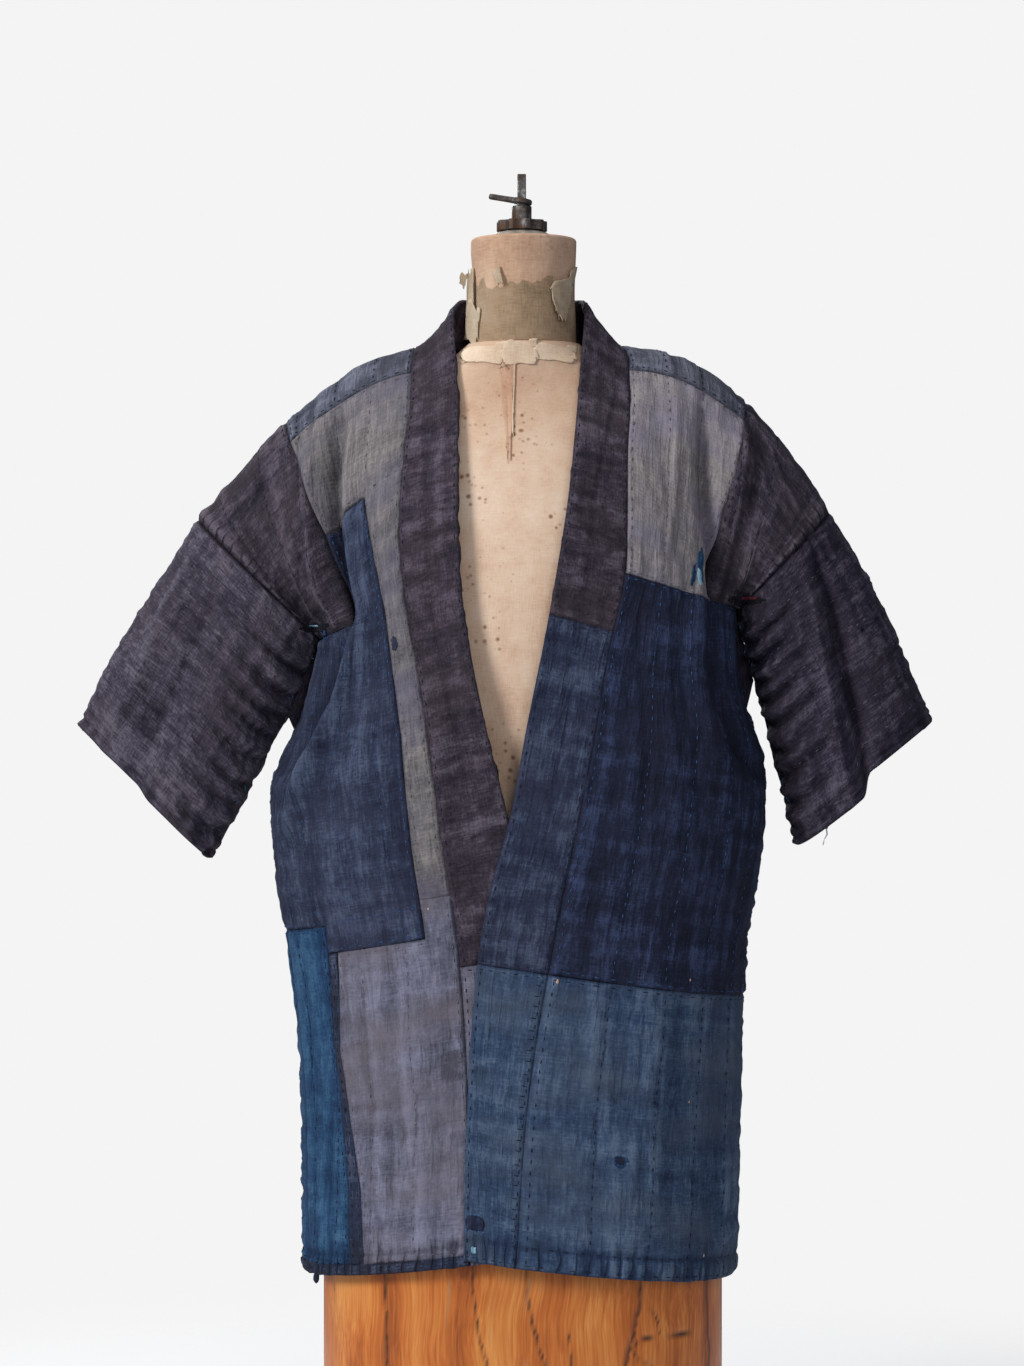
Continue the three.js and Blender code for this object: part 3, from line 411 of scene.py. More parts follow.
# Sharper creases that lie on the folds and between them.
CREASES = [
    Fold(R, -3.2, 3.5, ((0.34, 800), (0.385, 745), (0.4, 700), (0.42, 645), (0.425, 600))),
    Fold(R, 1.8, 5, ((0.2, 806), (0.22, 770), (0.235, 730), (0.25, 700))),
    Fold(R, -1.6, 3.5, ((0.24, 800), (0.265, 768), (0.27, 725))),
    Fold(R, 1.5, 4, ((0.06, 800), (0.09, 750), (0.12, 690), (0.11, 640))),
    Fold(R, -1.5, 3, ((0.1, 790), (0.13, 740), (0.155, 690))),
    Fold(R, 3.2, 7, ((0.26, 640), (0.355, 562), (0.46, 490), (0.6, 430), (0.78, 385))),
    Fold(R, -2.6, 6, ((0.37, 600), (0.43, 540), (0.55, 480), (0.72, 420))),
    Fold(R, 1.6, 5, ((0.15, 560), (0.17, 450), (0.2, 360))),
    Fold(R, -1.4, 4, ((0.2, 540), (0.215, 440), (0.24, 340))),
    Fold(R, 1.6, 5, ((0.3, 470), (0.32, 380), (0.34, 310))),
    Fold(R, 2.4, 6, ((0.2, 250), (0.2, 170), (0.155, 60), (0.15, 12))),
    Fold(R, -2.0, 4.5, ((0.245, 270), (0.25, 190), (0.21, 100), (0.2, 20))),
    Fold(R, 1.8, 5, ((0.42, 275), (0.4, 200), (0.34, 130), (0.29, 60))),
    Fold(R, -1.6, 4, ((0.36, 240), (0.37, 190), (0.31, 110), (0.25, 30))),
    Fold(R, 1.6, 5, ((0.075, 240), (0.08, 150), (0.06, 60))),
    Fold(R, -1.5, 4, ((0.7, 300), (0.72, 210), (0.66, 120))),
    Fold(R, 1.8, 6, ((0.8, 290), (0.78, 180), (0.76, 60))),
    Fold(R, -1.3, 3, ((0.5, 205), (0.4, 196), (0.28, 204))),
    Fold(R, -1.2, 3, ((0.36, 142), (0.27, 134), (0.12, 140))),
    Fold(L, -3.0, 3.5, ((0.375, 790), (0.385, 742), (0.42, 712), (0.49, 668), (0.565, 600))),
    Fold(L, 1.6, 5, ((0.2, 795), (0.22, 720), (0.2, 640))),
    Fold(L, -1.2, 3.5, ((0.14, 770), (0.18, 700), (0.26, 640), (0.3, 612))),
    Fold(L, -2.4, 4, ((0.57, 598), (0.58, 545), (0.62, 490), (0.74, 455), (0.9, 440))),
    Fold(L, 1.8, 5, ((0.63, 590), (0.64, 540), (0.7, 500))),
    Fold(L, 1.7, 6, ((0.22, 590), (0.25, 500), (0.3, 400), (0.34, 300))),
    Fold(L, -1.5, 4, ((0.3, 580), (0.34, 470), (0.42, 370))),
    Fold(L, -1.6, 4.5, ((0.1, 570), (0.16, 480), (0.2, 380))),
    Fold(L, 1.5, 5, ((0.5, 420), (0.6, 350), (0.72, 300))),
    Fold(L, -1.8, 4, ((0.52, 380), (0.66, 330), (0.8, 300))),
    Fold(L, -1.6, 3.5, ((0.075, 246), (0.06, 215), (0.05, 180))),
    Fold(L, 1.6, 4.5, ((0.14, 248), (0.15, 200), (0.17, 130))),
    Fold(L, -1.3, 4, ((0.2, 246), (0.21, 190), (0.23, 150))),
    Fold(L, -1.2, 3, ((0.1, 150), (0.3, 158), (0.5, 150))),
    Fold(L, -1.3, 3.5, ((0.28, 100), (0.42, 90), (0.6, 96))),
    Fold(L, -2.0, 4, ((0.62, 20), (0.68, 42), (0.8, 56), (0.95, 50))),
    Fold(L, 2.0, 4, ((0.68, 24), (0.74, 36), (0.86, 44), (0.97, 38))),
    Fold(L, -1.4, 3, ((-0.8, 33), (-0.3, 28), (-0.05, 26))),
    # the neck band's own edges: a pressed line that wanders down its face
    Fold(L, -1.6, 2.6, ((-0.27, 850), (-0.25, 780), (-0.43, 718), (-0.55, 664), (-0.57, 604), (-0.5, 552))),
    Fold(L, -1.4, 2.6, ((-0.47, 545), (-0.45, 470), (-0.43, 400), (-0.39, 320), (-0.39, 262))),
    Fold(R, -1.2, 2.6, ((-0.3, 845), (-0.35, 760), (-0.5, 660), (-0.45, 560), (-0.5, 440), (-0.45, 300))),
    Fold(R, 1.0, 4, ((-0.7, 830), (-0.72, 720), (-0.7, 610), (-0.75, 500))),
    # shoulder caps: pressed lines that fall to the sleeve seam
    Fold(L, 2.2, 4, ((0.66, 822), (0.78, 790), (0.96, 776))),
    Fold(L, -1.8, 3.5, ((0.64, 800), (0.76, 770), (0.95, 752))),
    Fold(L, 1.6, 4, ((0.6, 740), (0.72, 700), (0.92, 684))),
    Fold(R, -2.0, 3.5, ((0.64, 806), (0.78, 786), (0.95, 778))),
    Fold(R, 1.8, 4, ((0.58, 760), (0.74, 728), (0.94, 716))),
    Fold(R, -1.8, 3.5, ((0.56, 720), (0.72, 690), (0.93, 672))),
    # sleeves: the edge of the long roll, and the strained lines under it
    Fold(L, -3.0, 3, ((1.02, 774), (1.45, 752), (1.98, 734))),
    Fold(L, 1.4, 3.5, ((1.03, 700), (1.4, 684), (1.9, 668))),
    Fold(R, -1.6, 3, ((1.02, 782), (1.5, 772), (1.96, 760))),
    Fold(R, 2.0, 4.5, ((1.16, 668), (1.4, 676), (1.7, 690), (1.95, 700))),
    Fold(R, -1.8, 4, ((1.12, 650), (1.4, 656), (1.75, 668))),
    # backs
    Fold(R, -1.8, 4, ((0.3, 1020), (0.34, 1120), (0.4, 1230))),
    Fold(R, 1.8, 6, ((0.16, 1040), (0.2, 1160), (0.2, 1280))),
    Fold(L, -1.8, 4, ((0.26, 1020), (0.3, 1140), (0.42, 1260))),
    Fold(L, 1.8, 6, ((0.6, 1170), (0.55, 1260), (0.58, 1360))),
    Fold(R, -1.7, 4, ((0.56, 1320), (0.52, 1420), (0.56, 1560))),
    Fold(L, -1.5, 4, ((0.16, 1480), (0.18, 1590), (0.15, 1700))),
    Fold(R, 1.8, 6, ((0.22, 1490), (0.25, 1600), (0.22, 1710))),
    Fold(L, 1.8, 6, ((0.52, 1480), (0.5, 1600), (0.54, 1700))),
    Fold(R, -1.5, 4, ((0.86, 1400), (0.84, 1540), (0.88, 1680))),
]


@dataclass(frozen=True)
class Gathers:
    """Gathers across the under half of a sleeve, with a crease between each two.

    start and pitch are across values, low and high are along values, and rise and half_width are
    those of a gather, in millimetres. Every second gather is shorter, and they bow by turns.
    """

    side: Side
    start: float
    pitch: float
    low: float
    high: float
    rise: float
    half_width: float
    count: int = 9
    shorter: float = 17.0
    bow: float = 0.02
    more_bow: float = 0.012
    crease_rise: float = -4.0
    crease_half_width: float = 2.4

    def fold_in(self) -> None:
        """Adds the gathers to the folds and their creases to the creases."""
        for step in range(self.count):
            start = self.start + self.pitch * step
            reach = self.high - self.shorter * (step % 2)
            bow = self.bow + self.more_bow * (step % 3)
            path = ((start, self.low), (start + bow, (self.low + reach) / 2), (start + bow / 2, reach))
            FOLDS.append(Fold(self.side, self.rise, self.half_width, path))
            between = tuple((across + self.pitch / 2.0, along) for across, along in path)
            CREASES.append(Fold(self.side, self.crease_rise, self.crease_half_width, between))


for gathers in (Gathers(L, 1.13, 0.093, 603, 716, 7.4, 5.2), Gathers(R, 1.12, 0.1, 604, 716, 6.2, 5.6)):
    gathers.fold_in()


def shoulder_angle(along: np.ndarray) -> np.ndarray:
    """Angle round the shoulder: pi at the front armpit, 0 on the ridge, -pi at the back one."""
    turn = (CLOTH_LENGTH - along) / (CLOTH_LENGTH - ROW["armpit"])
    return math.pi * np.clip(turn, -1.0, 1.0)


@dataclass(frozen=True)
class JacketSurface:
    """The outer face of one side of the jacket, as functions of the cloth coordinates."""

    side: Side

    def sleeve_point(self, across: np.ndarray, along: np.ndarray) -> np.ndarray:
        """Points of the sleeve rings, on the left side of the body."""
        table = SLEEVES[self.side]
        angle = shoulder_angle(along)
        low = 0.5 - 0.5 * np.cos(angle + CUFF_LOW_TURN)
        reach = across + CUFF_DROP * low * low * np.maximum(across - 1.0, 0.0)
        step_width = np.where(angle > 0.0, CUFF_STEP_FRONT, CUFF_STEP_BACK)
        past_fold = (np.abs(angle) - CUFF_STEP_ANGLE) / step_width
        reach += CUFF_STEP[self.side] * (ease(past_fold) - 0.5) * ease((across - 1.5) / 0.5)
        top_x, under_x = table.curve("topX", reach), table.curve("underX", reach)
        top_z, under_z = table.curve("topZ", reach), table.curve("underZ", reach)
        turn = np.cos(angle)
        return np.column_stack([
            (top_x + under_x) / 2 + (top_x - under_x) / 2 * turn,
            table.curve("y", reach) - table.curve("depth", reach) * np.sin(angle),
            (top_z + under_z) / 2 + (top_z - under_z) / 2 * turn,
        ])

    def body_point(self, across: np.ndarray, along: np.ndarray) -> np.ndarray:
        """Points of the body cloth, on the left side of the body."""
        table = SECTIONS[self.side]
        seam_x, seam_z = table.curve("seamX", along), table.curve("seamZ", along)
        side_x, side_z = table.curve("sideX", along), table.curve("sideZ", along)
        angle = shoulder_angle(along)
        upper = np.abs(angle) < math.pi
        rim = self.sleeve_point(np.ones_like(along), along)
        outer_x = np.where(upper, rim[:, 0], side_x)
        outer_y = np.where(upper, rim[:, 1], 0.0)
        outer_z = np.where(upper, rim[:, 2], side_z)
        power = 2.0 / BODY_ROUNDNESS
        start = np.arcsin(signed_power(seam_x / side_x, BODY_ROUNDNESS / 2.0))
        turn = start + (math.pi / 2 - start) * across
        first = signed_power(np.sin(start), power)
        ridge = np.where(upper, (1.0 + np.cos(angle)) / 2.0, 0.0)
        rounded = (signed_power(np.sin(turn), power) - first) / (1.0 - first)
        out = rounded * (1.0 - ridge) + across * ridge
        fall = 1.0 + (SHOULDER_FALL[self.side] - 1.0) * ridge
        wide = np.minimum(first + (1.0 - first) * out, 1.0)
        profile = (1.0 - np.abs(wide) ** BODY_ROUNDNESS) ** (power / 2.0)
        depth = table.curve("depth", along) * np.sin(angle / 2.0) * profile
        to_armhole = ease((across - ARMHOLE_BLEND) / (1.0 - ARMHOLE_BLEND))
        above_armpit = ease((math.pi - np.abs(angle)) / ARMPIT_TURN)
        return np.column_stack([
            seam_x + (outer_x - seam_x) * out,
            -depth * (1.0 - to_armhole * above_armpit) + outer_y * to_armhole,
            seam_z + (outer_z - seam_z) * np.maximum(out, 0.0) ** fall,
        ])

    def band_point(self, across: np.ndarray, along: np.ndarray) -> np.ndarray:
        """Points of the neck band, on the left side of the body."""
        table = SECTIONS[self.side]
        seam = self.body_point(np.zeros_like(along), along)
        edge_x = table.curve("edgeX", along)
        wide = np.abs(edge_x / table.curve("sideX", along)) ** BODY_ROUNDNESS
        depth = table.curve("depth", along) * np.sin(shoulder_angle(along) / 2.0)
        edge_y = -depth * (1.0 - wide) ** (1.0 / BODY_ROUNDNESS)
        edge = np.column_stack([edge_x, edge_y, table.curve("edgeZ", along)])
        return seam + (edge - seam) * (-across)[:, None]

    def plain_point(self, across: np.ndarray, along: np.ndarray) -> np.ndarray:
        """Points of the unfolded surface, with each edge carried on past its seam."""
        armpit, back_armpit = ROW["armpit"], ROW["back_armpit"]
        on_shoulder = (along >= armpit) & (along <= back_armpit)
        beyond = across > 1.0
        sleeve = beyond & (on_shoulder | (across > 1.02))
        past_side = beyond & ~sleeve
        past_centre = (across < 0.0) & (along > ROW["neck_back"])
        band = (across < 0.0) & ~past_centre
        inner = np.clip(across, 0.0, 1.0)
        inner = np.where(past_side, 2.0 - across, np.where(past_centre, -across, inner))
        points = self.body_point(inner, along)
        points[past_side, 1] *= -1.0
        points[past_centre, 0] *= -1.0
        wrapped = armpit + np.mod(along - armpit, back_armpit - armpit)
        points[sleeve] = self.sleeve_point(across[sleeve], wrapped[sleeve])
        points[band] = self.band_point(np.maximum(across[band], -1.0), along[band])
        points[:, 0] *= self.side.value
        return points

    def normal(self, across: np.ndarray, along: np.ndarray) -> np.ndarray:
        """Outward unit normals of the unfolded surface."""
        here = self.plain_point(across, along)
        ahead = self.unit(self.plain_point(across + 0.012, along) - here)
        behind = self.unit(here - self.plain_point(np.maximum(across - 0.012, -1.0), along))
        width = ahead + behind
        length = self.plain_point(across, along + 3.0) - self.plain_point(across, along - 3.0)
        normal = np.cross(width, length) * self.side.value
        below = (along <= ROW["armpit"]) | (along >= ROW["back_armpit"])
        normal[(np.abs(across - 1.0) < 1e-6) & below, 1] = 0.0
        normal[(np.abs(across) < 1e-6) & (along >= ROW["neck_back"]), 0] = 0.0
        return self.unit(normal)

    def fold_height(self, across: np.ndarray, along: np.ndarray) -> np.ndarray:
        """Height of the folds and creases in millimetres."""
        total = np.zeros(len(across))
        for fold in FOLDS + CREASES:
            if fold.side is self.side:
                total += fold.height(across, along)
        return total * ease(np.abs(across - 1.0) / 0.12)

    def cavity_shade(self, across: np.ndarray, along: np.ndarray) -> np.ndarray:
        """How far a point lies in a trough or a crease: below 0 there, above 0 on a ridge. It goes into the
        ridge attribute, where the cottons paint shade in the troughs and creases.
        """
        deep = sum(fold.height(across, along) / 14.0 for fold in FOLDS if fold.side is self.side)
        sharp = sum(fold.height(across, along) / 2.6 for fold in CREASES if fold.side is self.side)
        return np.clip(deep + sharp, -1.6, 0.8)

    def column_across(self, column: np.ndarray, along: np.ndarray, on_sleeve: bool = False) -> np.ndarray:
        """across values of lattice columns on rows of the cloth."""
        if on_sleeve:
            past = (column - COLUMN["side"]) / (COLUMN["cuff"] - COLUMN["side"])
            slit = SLIT_OPENING * ease((np.abs(shoulder_angle(along)) - SLIT_START) / SLIT_BLEND)
            return 1.0 + slit + (1.0 - slit) * past
        paths = COLUMN_PATHS[self.side]
        stops = [np.zeros_like(along)]
        stops += [paths[name].line("across", along) for name in ("strip", "cap", "trim")]
        stops.append(np.ones_like(along))
        names = ("seam", "strip", "cap", "trim", "side")
        result = column / -COLUMN["edge"]
        for i in range(4):
            low, high = COLUMN[names[i]], COLUMN[names[i + 1]]
            q = (column - low) / (high - low)
            between = stops[i] + (stops[i + 1] - stops[i]) * q
            result = np.where((column > low) & (column <= high), between, result)
        return result

    @staticmethod
    def unit(vectors: np.ndarray) -> np.ndarray:
        """The same directions at length 1."""
        return vectors / np.maximum(np.linalg.norm(vectors, axis=1), 1e-9)[:, None]


SURFACES = {side: JacketSurface(side) for side in Side}


# ---------------------------------------------------------------- materials


def linear(hex_colour: str) -> tuple[float, float, float, float]:
    """sRGB hex colour as linear RGBA."""
    channels = [int(hex_colour[i:i + 2], 16) / 255.0 for i in (1, 3, 5)]
    toned = [c / 12.92 if c <= 0.04045 else ((c + 0.055) / 1.055) ** 2.4 for c in channels]
    return (*toned, 1.0)


def add(tree: bpy.types.NodeTree, kind: str, settings: Optional[dict] = None,
        links: Optional[dict] = None) -> bpy.types.Node:
    """Adds a node with its settings and links.

    Args:
        tree: The node tree.
        kind: The node's type name.
        settings: Properties by name.
        links: Values or output sockets by input name or place.

    Returns:
        The new node.
    """
    node = tree.nodes.new(kind)
    for name, value in (settings or {}).items():
        setattr(node, name, value)
    for place, value in (links or {}).items():
        socket = node.inputs[place]
        if isinstance(value, bpy.types.NodeSocket):
            tree.links.new(value, socket)
        else:
            socket.default_value = value
    return node


def ramp(tree: bpy.types.NodeTree, factor: bpy.types.NodeSocket,
         stops: Iterable[tuple[float, str]]) -> bpy.types.NodeSocket:
    """Colour ramp through sRGB stops.

    Args:
        tree: The node tree.
        factor: What the ramp reads.
        stops: (position, hex colour) pairs in order.

    Returns:
        The colour socket.
    """
    node = add(tree, "ShaderNodeValToRGB", {}, {"Fac": factor})
    elements = node.color_ramp.elements
    for i, (position, colour) in enumerate(stops):
        element = elements[i] if i < len(elements) else elements.new(position)
        element.position = position
        element.color = linear(colour)
    return node.outputs["Color"]


def calculate(tree: bpy.types.NodeTree, operation: str,
              *values: bpy.types.NodeSocket | float) -> bpy.types.NodeSocket:
    """Result of a math operation on numbers or sockets."""
    return add(tree, "ShaderNodeMath", {"operation": operation}, dict(enumerate(values))).outputs[0]


def remap(tree: bpy.types.NodeTree, value: bpy.types.NodeSocket, source: tuple[float, float],
          target: tuple[float, float] = (0.0, 1.0), interpolation: str = "LINEAR") -> bpy.types.NodeSocket:
    """Stretches one range over another and holds it at the ends.

    Args:
        tree: The node tree.
        value: What is read.
        source: Its range.
        target: The range that it becomes.
        interpolation: Linear or a smooth step.

    Returns:
        The new value's socket.
    """
    return add(tree, "ShaderNodeMapRange", {"interpolation_type": interpolation}, {
        "Value": value, "From Min": source[0], "From Max": source[1],
        "To Min": target[0], "To Max": target[1],
    }).outputs["Result"]


def blend(tree: bpy.types.NodeTree, share: bpy.types.NodeSocket, first: bpy.types.NodeSocket,
          second: object) -> bpy.types.NodeSocket:
    """Goes from the first colour to the second, a socket or a colour, as share goes from 0 to 1."""
    return add(tree, "ShaderNodeMix", {"data_type": "RGBA"}, {0: share, 6: first, 7: second}).outputs[2]


def object_place(tree: bpy.types.NodeTree) -> bpy.types.NodeSocket:
    """Coordinates in metres in the shared frame."""
    return add(tree, "ShaderNodeTexCoord").outputs["Object"]


def attribute(tree: bpy.types.NodeTree, name: str) -> bpy.types.NodeSocket:
    """A number that the mesh stores for each vertex."""
    return add(tree, "ShaderNodeAttribute", {"attribute_name": name}).outputs["Fac"]


@dataclass(frozen=True)
class Finish:
    """A material for one real surface."""

    name: str
    roughness: float = 0.9
    metallic: float = 0.0
    specular: float = 0.25
    coat: float = 0.0
    coat_roughness: float = 0.25

    def material(self) -> bpy.types.Material:
        """The material, made once and then shared."""
        made = bpy.data.materials.get(self.name)
        if made:
            return made
        made = bpy.data.materials.new(self.name)
        made.use_nodes = True
        tree = made.node_tree
        shader = tree.nodes["Principled BSDF"]
        for name, value in (
            ("Roughness", self.roughness), ("Metallic", self.metallic), ("Specular IOR Level", self.specular),
            ("Coat Weight", self.coat), ("Coat Roughness", self.coat_roughness),
        ):
            shader.inputs[name].default_value = value
        self.dress(tree, shader)
        return made

    def dress(self, tree: bpy.types.NodeTree, shader: bpy.types.Node) -> None:
        """Adds the surface's pattern. A plain finish has none."""

    def pattern(self, tree: bpy.types.NodeTree, source: bpy.types.NodeSocket,
                cells: tuple[float, float, float], detail: float = 2.0) -> bpy.types.NodeSocket:
        """Noise in cells of the given size.

        Args:
            tree: The node tree.
            source: Coordinates in metres.
            cells: Size of a cell along each axis, in millimetres.
            detail: Octaves.

        Returns:
            The noise's value socket, about 0.5 in the middle.
        """
        scale = tuple(1.0 / (size * MM) for size in cells)
        scaled = add(tree, "ShaderNodeVectorMath", {"operation": "MULTIPLY"}, {0: source, 1: scale})
        return add(tree, "ShaderNodeTexNoise", {}, {
            "Vector": scaled.outputs[0], "Scale": 1.0, "Detail": detail,
        }).outputs["Fac"]

    def weighed(self, tree: bpy.types.NodeTree, parts: Iterable[tuple[bpy.types.NodeSocket, float]],
                start: float) -> bpy.types.NodeSocket:
        """Sum of sockets with weights.

        Args:
            tree: The node tree.
            parts: (socket, weight) pairs.
            start: What the sum begins at.

        Returns:
            The sum's socket.
        """
        total: bpy.types.NodeSocket | float = start
        for socket, weight in parts:
            total = calculate(tree, "MULTIPLY_ADD", socket, weight, total)
        return total

    def bump(self, tree: bpy.types.NodeTree, shader: bpy.types.Node, height: bpy.types.NodeSocket,
             depth: float, strength: float = 1.0) -> None:
        """Bumps the shader.

        Args:
            tree: The node tree.
            shader: The Principled shader.
            height: Height from 0 to 1.
            depth: What 1 stands for, in millimetres.
            strength: How much of it shows.
        """
        settings = {"Height": height, "Distance": depth * MM, "Strength": strength}
        tree.links.new(add(tree, "ShaderNodeBump", {}, settings).outputs["Normal"], shader.inputs["Normal"])


@dataclass(frozen=True)
class Cotton(Finish):
    """Hand-woven indigo or madder-dyed cotton, quilted and washed for years.

    Dull and dry, with threads that show, slow fading in bands, pale worn ridges, painted shade in troughs,
    creases and tucks, and dark seams.
    """

    deep: str = "#20263a"
    base: str = "#2d344c"
    worn: str = "#5a6478"
    blotch: float = 0.32
    streak: float = 0.5
    crossing: float = 0.25
    warmth: str = "#4a4448"
    warm_share: float = 0.25
    stained: float = 0.0
    stain: str = "#5b4f48"
    crumple: tuple[float, float, float] = (5.5, 44.0, 1.0)
    crumple_depth: float = 2.3
    grime: float = 0.4
    # how far the ridge attribute moves the tone: paler on rubbed ridges as worn cloth, darker in troughs and
    # creases as painted shade
    ridge_wear: float = 0.3

    def dress(self, tree: bpy.types.NodeTree, shader: bpy.types.Node) -> None:
        """Threads, fading, pale worn ridges, painted shade in troughs, creases and tucks, dark seams and
        stains.
        """
        flat = add(tree, "ShaderNodeUVMap", {"uv_map": "cloth"}).outputs["UV"]
        ridge = attribute(tree, "ridge")
        seam = attribute(tree, "seam")
        # yarns of 0.4 mm are too fine for the picture, so they are drawn 1.3 mm wide
        warp = self.pattern(tree, flat, (1.3, 12.0, 1.0), 1.0)
        weft = self.pattern(tree, flat, (11.0, 1.4, 1.0), 1.0)
        speckle = self.pattern(tree, flat, (2.4, 2.6, 1.0), 3.0)
        fade = self.pattern(tree, flat, (70.0, 110.0, 1.0), 3.0)
        streaks = self.pattern(tree, flat, (6.5, 150.0, 1.0), 2.0)
        slubs = self.pattern(tree, flat, (70.0, 4.5, 1.0), 2.0)
        grime = self.pattern(tree, flat, (11.0, 14.0, 1.0), 3.0)
        crumple = self.pattern(tree, flat, self.crumple, 4.0)
        creased = calculate(tree, "ABSOLUTE", calculate(tree, "SUBTRACT", crumple, 0.5))
        pleats = self.pleats(tree, flat)
        # ridge paints shade into troughs and creases and lightens the worn ridges
        weights = (
            (fade, self.blotch), (streaks, self.streak * 0.6), (slubs, self.crossing * 0.7), (warp, 0.55),
            (weft, 0.5), (grime, self.grime), (speckle, 0.6), (ridge, self.ridge_wear), (seam, -0.14),
            # creased darkens the crumple's crease lines and pleats darkens the tucks: painted shade
            (creased, 1.3), (pleats, -0.5),
        )
        # seven patterns are 0.5 in the middle, and the creases add 0.1 on average
        middle = sum(weight for _, weight in weights[:7]) / 2.0 + 0.1
        tone = self.weighed(tree, weights, 0.5 - middle)
        dyed = ramp(tree, tone, ((0.12, self.deep), (0.48, self.base), (0.9, self.worn)))
        warm_place = self.pattern(tree, flat, (120.0, 60.0, 1.0), 2.0)
        share = remap(tree, warm_place, (0.42, 0.68), (0.0, self.warm_share))
        warmed = blend(tree, share, dyed, linear(self.warmth))
        spots = self.pattern(tree, flat, (24.0, 30.0, 1.0), 4.0)
        stain = remap(tree, spots, (0.62, 0.74), (0.0, self.stained))
        tree.links.new(blend(tree, stain, warmed, linear(self.stain)), shader.inputs["Base Color"])
        height = self.weighed(tree, (
            (warp, 0.1), (weft, 0.1), (speckle, 0.32), (crumple, 0.9), (creased, 0.8), (pleats, -0.6),
        ), 0.0)
        self.bump(tree, shader, height, self.crumple_depth)

    def pleats(self, tree: bpy.types.NodeTree, flat: bpy.types.NodeSocket) -> bpy.types.NodeSocket:
        """Thin tucks up from the hems and in from the side edges, where the quilting ends. The colour is
        painted darker in them as shade.

        Args:
            tree: The node tree.
            flat: The cloth map.

        Returns:
            The socket that is 1 in a tuck.
        """
        wander = self.pattern(tree, flat, (48.0, 70.0, 1.0), 2.0)
        place = add(tree, "ShaderNodeSeparateXYZ", {}, {0: flat}).outputs
        across = calculate(tree, "MODULO", place["X"], SIDE_SHIFT)
        total: Optional[bpy.types.NodeSocket] = None
        for position, gap_from, edges, pitch, reach in (
            (across, place["Y"], (0.0, CLOTH_LENGTH * 2.0 * MM), 10.5, 27.0),
            (place["Y"], across, (BODY_SPAN * MM,), 16.0, 15.0),
        ):
            steps = calculate(tree, "MULTIPLY_ADD", position, 1.0 / (pitch * MM), 40.0)
            bent = calculate(tree, "MULTIPLY_ADD", wander, 2.4, steps)
            line = remap(tree, calculate(tree, "PINGPONG", bent, 0.5), (0.03, 0.13), (1.0, 0.0))
            for edge in edges:
                gap = calculate(tree, "ABSOLUTE", calculate(tree, "SUBTRACT", gap_from, edge))
                near = remap(tree, gap, (0.3 * reach * MM, reach * MM), (1.0, 0.0))
                part = calculate(tree, "MULTIPLY", line, near)
                total = part if total is None else calculate(tree, "ADD", total, part)
        return total


@dataclass(frozen=True)
class Thread(Finish):
    """Spun cotton sewing thread: dull, a little lighter on top."""

    colour: str = "#1d2436"
    worn: str = "#39435c"

    def dress(self, tree: bpy.types.NodeTree, shader: bpy.types.Node) -> None:
        """Short dark and pale turns of the twist."""
        place = object_place(tree)
        twist = self.pattern(tree, place, (1.2, 1.2, 1.2), 1.0)
        colour = ramp(tree, twist, ((0.35, self.colour), (0.65, self.worn)))
        tree.links.new(colour, shader.inputs["Base Color"])


@dataclass(frozen=True)
class Calico(Finish):
    """Old sized calico glued over the form: warm buff with foxing spots and a paler shoulder, darkened
    towards the top by painted shade from the jacket's collar.
    """

    deep: str = "#cba488"
    base: str = "#e2c3a8"
    pale: str = "#eedac4"
    spot: str = "#7d4c2c"
    spots: float = 0.85
    weave: float = 1.0
    peeled_above: float = 9.0
    peeled: str = "#c29f84"
    # painted shade near the top of the torso: how strong it is, and its colour
    collar_shade: float = 0.0
    collar_shade_colour: str = "#a07c5f"

    def dress(self, tree: bpy.types.NodeTree, shader: bpy.types.Node) -> None:
        """Cloth grain, slow yellowing, brown age spots and painted shade towards the top."""
        place = object_place(tree)
        slow = self.pattern(tree, place, (90.0, 90.0, 140.0), 3.0)
        grain = self.pattern(tree, place, (self.weave, self.weave, 9.0), 1.0)
        cross = self.pattern(tree, place, (8.0, 8.0, self.weave), 1.0)
        mottle = self.pattern(tree, place, (16.0, 16.0, 20.0), 3.0)
        weights = ((slow, 0.9), (grain, 0.3), (cross, 0.3), (mottle, 0.5))
        tone = self.weighed(tree, weights, -0.5)
        cloth = ramp(tree, tone, ((0.2, self.deep), (0.5, self.base), (0.85, self.pale)))
        height = add(tree, "ShaderNodeSeparateXYZ", {}, {0: place}).outputs["Z"]
        # painted shade: darker from 0.93 m to 1.04 m up, where the jacket's collar shades the torso
        collar_shade = remap(tree, height, (0.93, 1.04), (0.0, self.collar_shade))
        cloth = blend(tree, collar_shade, cloth, linear(self.collar_shade_colour))
        ragged = calculate(tree, "MULTIPLY_ADD", mottle, 0.06, height)
        bare = remap(tree, ragged, (self.peeled_above + 0.03, self.peeled_above + 0.032))
        paper = ramp(tree, tone, ((0.1, "#94705a"), (0.5, self.peeled), (0.9, "#d9bda3")))
        cloth = blend(tree, bare, cloth, paper)
        scale = (1.0 / (7.0 * MM),) * 3
        cells = add(tree, "ShaderNodeVectorMath", {"operation": "MULTIPLY"}, {0: place, 1: scale})
        voronoi = add(tree, "ShaderNodeTexVoronoi", {}, {"Vector": cells.outputs[0], "Scale": 1.0})
        where = self.pattern(tree, place, (38.0, 38.0, 46.0), 3.0)
        size = remap(tree, where, (0.5, 0.72), (0.0, 0.34))
        inside = calculate(tree, "SUBTRACT", size, voronoi.outputs["Distance"])
        mark = remap(tree, inside, (-0.12, 0.16), (0.0, self.spots))
        tree.links.new(blend(tree, mark, cloth, linear(self.spot)), shader.inputs["Base Color"])
        height = self.weighed(tree, ((grain, 0.5), (cross, 0.5), (mottle, 0.6)), 0.0)
        self.bump(tree, shader, height, 0.5, 0.6)


